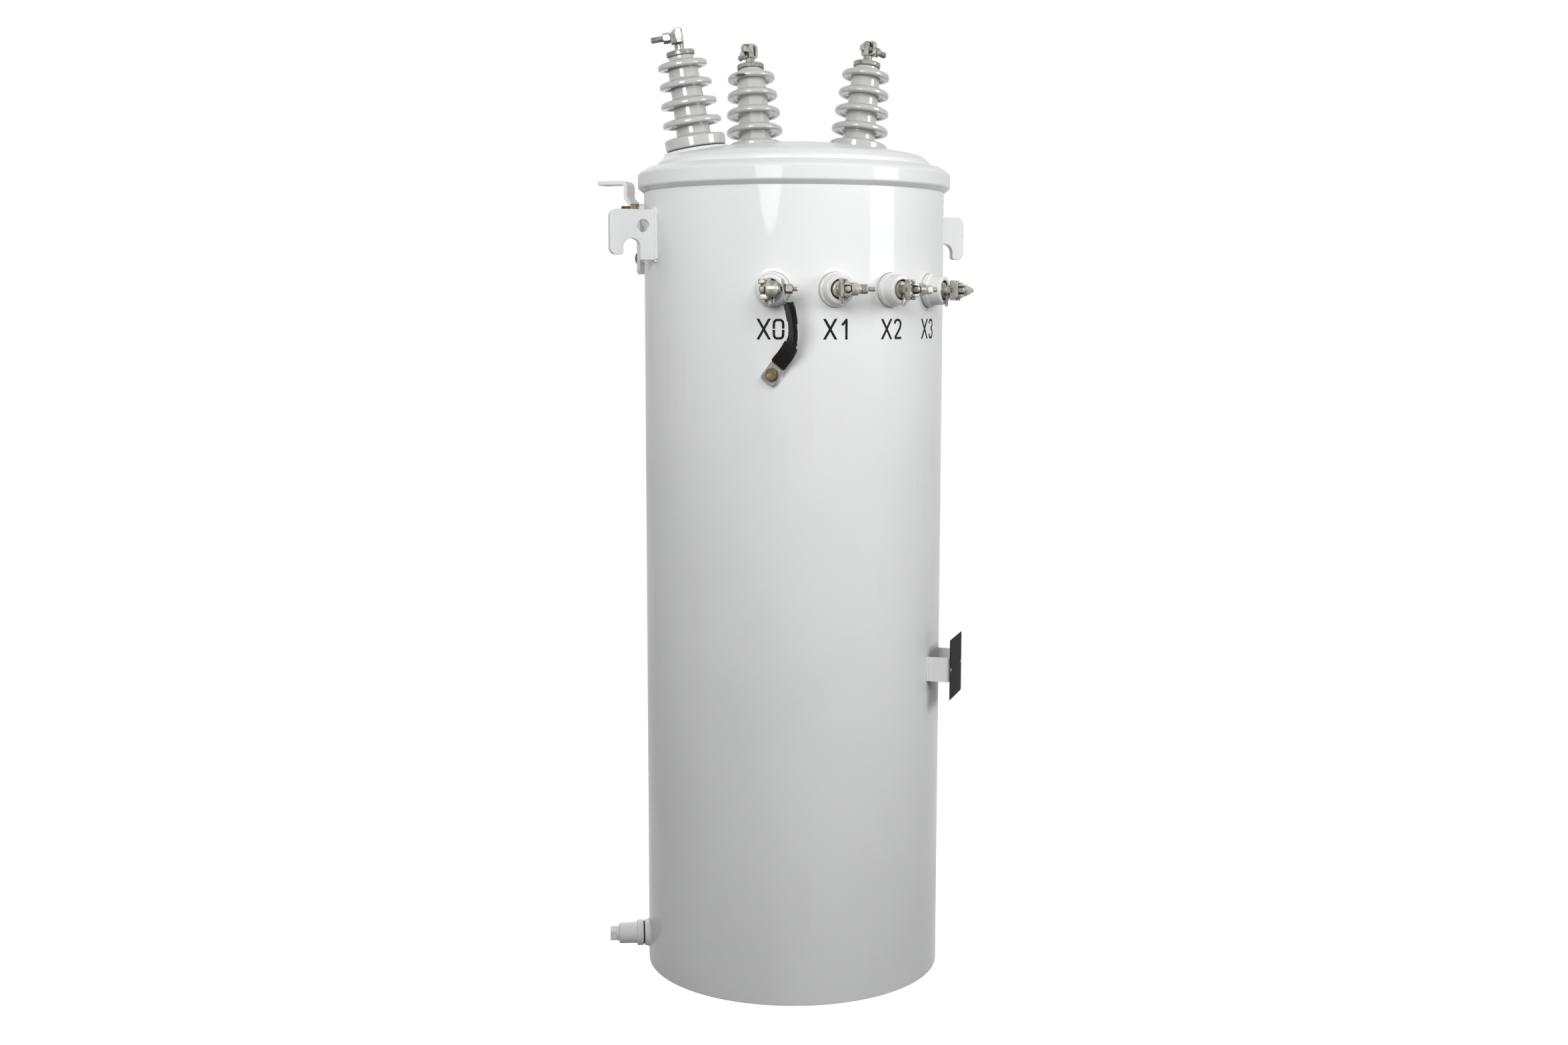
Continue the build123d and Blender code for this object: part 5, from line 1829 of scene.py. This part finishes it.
    def fixings(self) -> None:
        """Builds the lower bolt, and the washers under the upper nut."""
        base = self.pad + 0.2 + self.lug_thickness + 0.1
        place = wall(self.azimuth, self.height - self.drop, base)
        ring = [(0, 0), (12.4, 0), (12.8, 0.4), (12.8, 1.6), (12.4, 2), (0, 2)]
        washer = lathe("washer", ring, place, 56)
        head = hexagon("head", place, self.bolt_flats, (2.1, 10.5), (False, True), 0.8)
        marks = []
        for number in range(6):
            mark = rounded([(2.2, -0.6, 0.4), (7.6, -0.6, 0.4), (7.6, 0.6, 0.4), (2.2, 0.6, 0.4)], True)
            marks.append(plate("mark", [mark], (10.1, 10.95), turned(place, 15 + 60 * number), 0.25))
        YELLOW_ZINC.dress(joined("link_bolt", [washer, head, *marks]), "ground_bolt")
        springs = []
        for start, radius in ((32.1, 10.2), (33.3, 9)):
            end = start + 0.95
            coil = rounded([(5.2, start, 0), (radius, start, 0.3), (radius, end, 0.3), (5.2, end, 0)], True,
                           2)
            springs.append(lathe("spring", coil, self.rod, 48, closed=True))
        COPPER.dress(joined("link_washers", springs))

    def sleeve_size(self, share: float, point: Vector) -> Corner:
        """Sizes the sleeve, which is three lengths of shrunk tube that overlap.

        Args:
            share: share of the sleeve's length.
            point: where it is, for its unevenness.

        Returns:
            Width, thickness and corner of its section.
        """
        second, third = (eased((share - lap) / 0.012) for lap in self.laps)
        width = 27.5 - 4.2 * second + 8.4 * third + 2 * max(0, share - 0.7)
        thickness = 11.6 - 1.8 * second + 0.6 * third - 9 * max(0, share - 0.68)
        for spot, reach, depth in self.wrinkles:
            swell = depth * math.exp(-(((share - spot) / reach) ** 2))
            width += 0.7 * swell
            thickness += swell
        width += 0.9 * noise.noise(point * 0.09)
        thickness += 0.7 * noise.noise(point * 0.13 + Vector((5, 0, 0)))
        rim = min(1, 0.86 + 18 * min(share, 1 - share))
        return width * rim, thickness * rim, 3.4

    def sleeve(self) -> None:
        """Builds the sleeve, and the end of the bar that shows below it."""
        route = self.route(self.sleeve_path)
        SLEEVE.dress(self.ribbon("ground_sleeve", route, self.sleeve_size), "ground_link")
        tail, side = route[-1]
        ahead = (tail - route[-4][0]).normalized()
        side = squared(side, ahead).normalized()
        rings = []
        for reach in (-3, 0.9, 1.5):
            ring = box_ring(27.6 - 0.6 * reach, 5.4, 1.6)
            rings.append([tuple(tail + ahead * reach + side * u + ahead.cross(side) * v) for u, v in ring])
        COPPER.dress(loft("link_core", rings, Matrix()))

    def build(self) -> None:
        """Builds the link."""
        self.lugs()
        self.fixings()
        self.sleeve()


@dataclass
class Hanger:
    """Welded pole hanger."""

    node: str

    def build(self) -> None:
        """Builds the hanger with softened edges and its welds."""
        low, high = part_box(self.node)
        body = softened("body", self.node, 1.3)
        welds = []
        for side in (-1, 1):
            for way in (-1, 1):
                x = side * ((high.x - low.x) / 2 / MM - 10) + way * 4.2
                y = math.sqrt(TANK_RADIUS**2 - x * x) + 0.6
                for depth, trim, radius in ((y, 8, 4), (high.y / MM - 10.6, 14, 3.4)):
                    line = [Vector((x, depth, z)) for z in (low.z / MM + trim, high.z / MM - trim)]
                    welds.append(bead("weld", line, radius, 6))
        ENAMEL.dress(joined(f"{self.node}_body", [body, *welds]), self.node)


# ---------------------------------------------------------------- terminal marks


class Glyph(Enum):
    """Stencilled letters: each its width in millimetres, then its strokes in shares of its size."""

    X = (29.5, (((0.085, 1.04), (0.915, -0.04)), ((0.915, 1.04), (0.085, -0.04))))
    ZERO = (22.3, (((0.1, 0.52), (0.1, 0.72), (0.14, 0.88), (0.32, 0.945), (0.5, 0.945), (0.68, 0.945),
                    (0.86, 0.88), (0.9, 0.72), (0.9, 0.52)), ((0.1, 0.475), (0.1, 0.28), (0.14, 0.12),
                                                              (0.32, 0.055), (0.5, 0.055), (0.68, 0.055),
                                                              (0.86, 0.12), (0.9, 0.28), (0.9, 0.475))))
    ONE = (13.3, (((0.82, 1.04), (0.82, -0.04)), ((0.8, 0.95), (0.5, 0.81), (0.16, 0.7))))
    TWO = (20.7, (((0.1, 0.76), (0.14, 0.88), (0.34, 0.95), (0.6, 0.95), (0.8, 0.88), (0.86, 0.74),
                   (0.78, 0.56), (0.5, 0.34), (0.14, 0.08)), ((0.1, 0.06), (0.5, 0.05), (0.96, 0.07))))
    THREE = (20, (((0.12, 0.76), (0.16, 0.89), (0.34, 0.95), (0.58, 0.95), (0.78, 0.88), (0.84, 0.74),
                   (0.74, 0.6), (0.46, 0.53)), ((0.46, 0.53), (0.78, 0.46), (0.88, 0.28), (0.8, 0.12),
                                                (0.58, 0.05), (0.34, 0.05), (0.16, 0.11), (0.1, 0.26))))


@dataclass
class TerminalMarks:
    """Marks X0 to X3 sprayed on the wall under the terminals."""

    low: float = 1311.5
    tall: float = 39.3
    stroke: float = 4.9
    film: float = 0.12
    film_thickness: float = 0.1
    starts: tuple[float, ...] = (-39.8, -15.9, 6.9, 28.6)
    gaps: tuple[float, ...] = (2.6, 6.6, 3.6, 3.6)
    digits: tuple[Glyph, ...] = (Glyph.ZERO, Glyph.ONE, Glyph.TWO, Glyph.THREE)

    def band(self, points: Sequence[Point]) -> list[tuple[Point, Point]]:
        """Both edges of a stroke, cut level at the top and foot of the mark.

        Args:
            points: middle line of the stroke, in millimetres along the wall and above the mark's foot.

        Returns:
            Pairs of points on its left and right edges.
        """
        line = [Vector(point) for point in rounded([(x, y, 7) for x, y in points], steps=5)]
        dense = spaced(line, 2)
        pairs = []
        for index, point in enumerate(dense):
            ahead = heading(dense, index).normalized()
            uneven = 1 + 0.07 * noise.noise(Vector((point.x, point.y, len(points))) * 0.25)
            normal = Vector((-ahead.y, ahead.x)) * self.stroke / 2 * uneven
            pair = []
            for way in (1, -1):
                edge = point + way * normal
                over = max(edge.y - self.tall, -edge.y, 0)
                if over and abs(ahead.y) > 0.3:
                    edge -= ahead * (over / ahead.y) * (1 if edge.y > 0 else -1)
                pair.append((edge.x, min(max(edge.y, 0), self.tall)))
            pairs.append(tuple(pair))
        return pairs

    def build(self) -> None:
        """Builds the marks as thin films on the wall."""
        reach = TANK_RADIUS + self.film
        for number, (start, gap) in enumerate(zip(self.starts, self.gaps)):
            left = math.radians(start) * TANK_RADIUS
            vertices: list[Corner] = []
            faces: list[Sequence[int]] = []
            for glyph in (Glyph.X, self.digits[number]):
                width, strokes = glyph.value
                for run in strokes:
                    base = len(vertices)
                    pairs = self.band([(left + x * width, y * self.tall) for x, y in run])
                    for pair in pairs:
                        for arc, height in pair:
                            turn = arc / TANK_RADIUS
                            vertices.append((reach * math.sin(turn), -reach * math.cos(turn),
                                             self.low + height))
                    for step in range(len(pairs) - 1):
                        low = base + 2 * step
                        faces.append((low, low + 1, low + 3, low + 2))
                left += width + gap
            mark = emit(f"terminal_mark_{number}", vertices, faces, Matrix())
            thick = mark.modifiers.new("film", "SOLIDIFY")
            thick.thickness = self.film_thickness * MM
            thick.offset = -1
            STENCIL.dress(settled(mark))


# ---------------------------------------------------------------- studio


@dataclass
class Camera:
    """Camera that looks at the object from the low voltage side, left of the middle."""

    distance: float = 3790
    azimuth: float = -26.3
    height: float = 1364.6
    yaw: float = -0.29
    pitch: float = 6.58
    roll: float = -0.09
    lens: float = 42.03
    sensor: float = 36

    def build(self) -> None:
        """Places the camera."""
        side, outward, up = along(self.azimuth), direction(self.azimuth), Vector((0, 0, 1))
        yaw, pitch, roll = (math.radians(angle) for angle in (self.yaw, self.pitch, self.roll))
        ahead = math.sin(yaw) * side - math.cos(yaw) * outward
        right = math.cos(yaw) * side + math.sin(yaw) * outward
        forward = math.cos(pitch) * ahead - math.sin(pitch) * up
        upward = math.sin(pitch) * ahead + math.cos(pitch) * up
        tilted = math.cos(roll) * right - math.sin(roll) * upward
        origin = (outward * self.distance + up * self.height) * MM
        data = bpy.data.cameras.new("camera")
        data.sensor_width = self.sensor
        data.lens = self.lens
        data.clip_start = 0.1
        data.clip_end = 200
        camera = linked("camera", data)
        camera.matrix_world = placed(origin, tilted, -forward)
        bpy.context.scene.camera = camera


@dataclass
class Lamp:
    """A soft box: where it stands, what it faces and how strong it is."""

    name: str
    azimuth: float
    distance: float
    height: float
    size: Point
    power: float
    target: float = 1200
    spread: float = 180
    mirrored: bool = False
    round: bool = False

    def build(self) -> None:
        """Adds the lamp."""
        data = bpy.data.lights.new(self.name, "AREA")
        data.shape = "ELLIPSE" if self.round else "RECTANGLE"
        data.size, data.size_y = self.size
        data.energy = self.power
        data.spread = math.radians(self.spread)
        lamp = linked(self.name, data)
        lamp.visible_glossy = self.mirrored
        origin = direction(self.azimuth) * self.distance + Vector((0, 0, self.height))
        aim = (Vector((0, 0, self.target)) - origin).to_track_quat("-Z", "Y").to_matrix().to_4x4()
        lamp.matrix_world = Matrix.Translation(origin * MM) @ aim


@dataclass
class Studio:
    """Pale floor, white surround and soft boxes."""

    ambient: float = 0.16
    floor_radius: float = 60
    floor_colour: Rgb = (0.22, 0.22, 0.22)
    floor_patches: Rgb = (0.2, 0.2, 0.2)
    floor_glow: float = 0.985
    lamps: tuple[Lamp, ...] = (
        Lamp("front_box", -10, 2800, 3000, (1.6, 1.6), 27),
        Lamp("top_box", -20, 2400, 2600, (1.2, 1.2), 1.2, 1950, 95),
        Lamp("left_box", -110, 2400, 2600, (1.2, 1.2), 4.5, 1950, 95),
        Lamp("right_box", 60, 2400, 2600, (1.2, 1.2), 2.2, 1950, 95),
        Lamp("back_box", 170, 2600, 2700, (1.6, 1.6), 38, 1400, 120),
        Lamp("round_box", -43, 2900, 2260, (1.27, 1.27), 53, 2260, 180, True, True),
        Lamp("tall_box", 40.5, 2900, 2070, (1.08, 1.2), 44, 2070, 180, True),
    )

    def seen(self, graph: Graph) -> bpy.types.NodeSocket:
        """Tells rays that see the surround from those that light the object.

        Args:
            graph: the nodes to add to.

        Returns:
            1 for rays from the camera, from reflections and through glass, and 0 for others.
        """
        path = graph.add("ShaderNodeLightPath").outputs
        both = graph.calculate("MAXIMUM", path["Is Camera Ray"], path["Is Glossy Ray"])
        return graph.calculate("MAXIMUM", both, path["Is Transmission Ray"])

    def surround(self) -> None:
        """Sets the world: white where it is seen, and a plain level of light elsewhere."""
        world = bpy.data.worlds.new("studio")
        bpy.context.scene.world = world
        world.use_nodes = True
        world.node_tree.nodes.clear()
        graph = Graph(world.node_tree)
        strength = graph.calculate("MULTIPLY_ADD", self.seen(graph), 1 - self.ambient, self.ambient)
        sky = graph.add("ShaderNodeBackground", {"Color": (1, 1, 1, 1), "Strength": strength})
        graph.add("ShaderNodeOutputWorld", {"Surface": sky.outputs[0]})

    def floor(self) -> None:
        """Builds the floor, which is white where it is seen and keeps the object's shadow."""
        material = bpy.data.materials.new("studio_floor")
        material.use_nodes = True
        material.node_tree.nodes.clear()
        graph = Graph(material.node_tree)
        tone = graph.blend(graph.clouds(graph.place(), 6.0), self.floor_colour, self.floor_patches)
        matt = graph.add("ShaderNodeBsdfDiffuse", {"Color": tone})
        strength = graph.calculate("MULTIPLY", self.seen(graph), self.floor_glow)
        glow = graph.add("ShaderNodeEmission", {"Strength": strength})
        both = graph.add("ShaderNodeAddShader", {0: matt.outputs[0], 1: glow.outputs[0]})
        graph.add("ShaderNodeOutputMaterial", {"Surface": both.outputs[0]})
        rings = [0.01, 0.5, 1, 2, 4, 8, 16, 32, self.floor_radius]
        floor = lathe("studio_floor", [(radius / MM, -0.5) for radius in rings], Matrix(), 96)
        floor.data.materials.append(material)

    def build(self) -> None:
        """Builds the studio."""
        self.surround()
        self.floor()
        for lamp in self.lamps:
            lamp.build()
        bpy.context.scene.view_settings.view_transform = "Standard"


# ---------------------------------------------------------------- build


def main() -> None:
    """Builds every piece in order."""
    logging.basicConfig(level=logging.INFO, format="%(message)s")
    smudged = replace(GLAZE, name="glaze_smudged", gloss=0.5, depth=0.01, smudge=(-0.031, 0.1955, 1.861))
    parts: list[tuple[str, object]] = [("tank", TankBody()), ("cover", Cover()), ("band", Band())]
    for mount in mounts("hv_terminal"):
        parts.append((mount["name"], HighBushing(mount, smudged if mount["name"].endswith("2") else GLAZE)))
    for mount in mounts("lv_terminal"):
        parts.append((mount["name"], LowBushing(mount, mount["name"].endswith("0"))))
    parts += [(f"{side} lug", LiftingLug(side)) for side in ("left", "right")]
    parts += [("arrester bracket", ArresterBracket()), ("ground stud", GroundStud()), ("drain", Drain()),
              ("nameplate", Nameplate()), ("ground link", GroundLink()),
              ("upper hanger", Hanger("hanger_upper")), ("lower hanger", Hanger("hanger_lower")),
              ("terminal marks", TerminalMarks()), ("camera", Camera()), ("studio", Studio())]
    for name, part in parts:
        part.build()
        log.info("built %s", name)


if __name__ == "__main__":
    main()
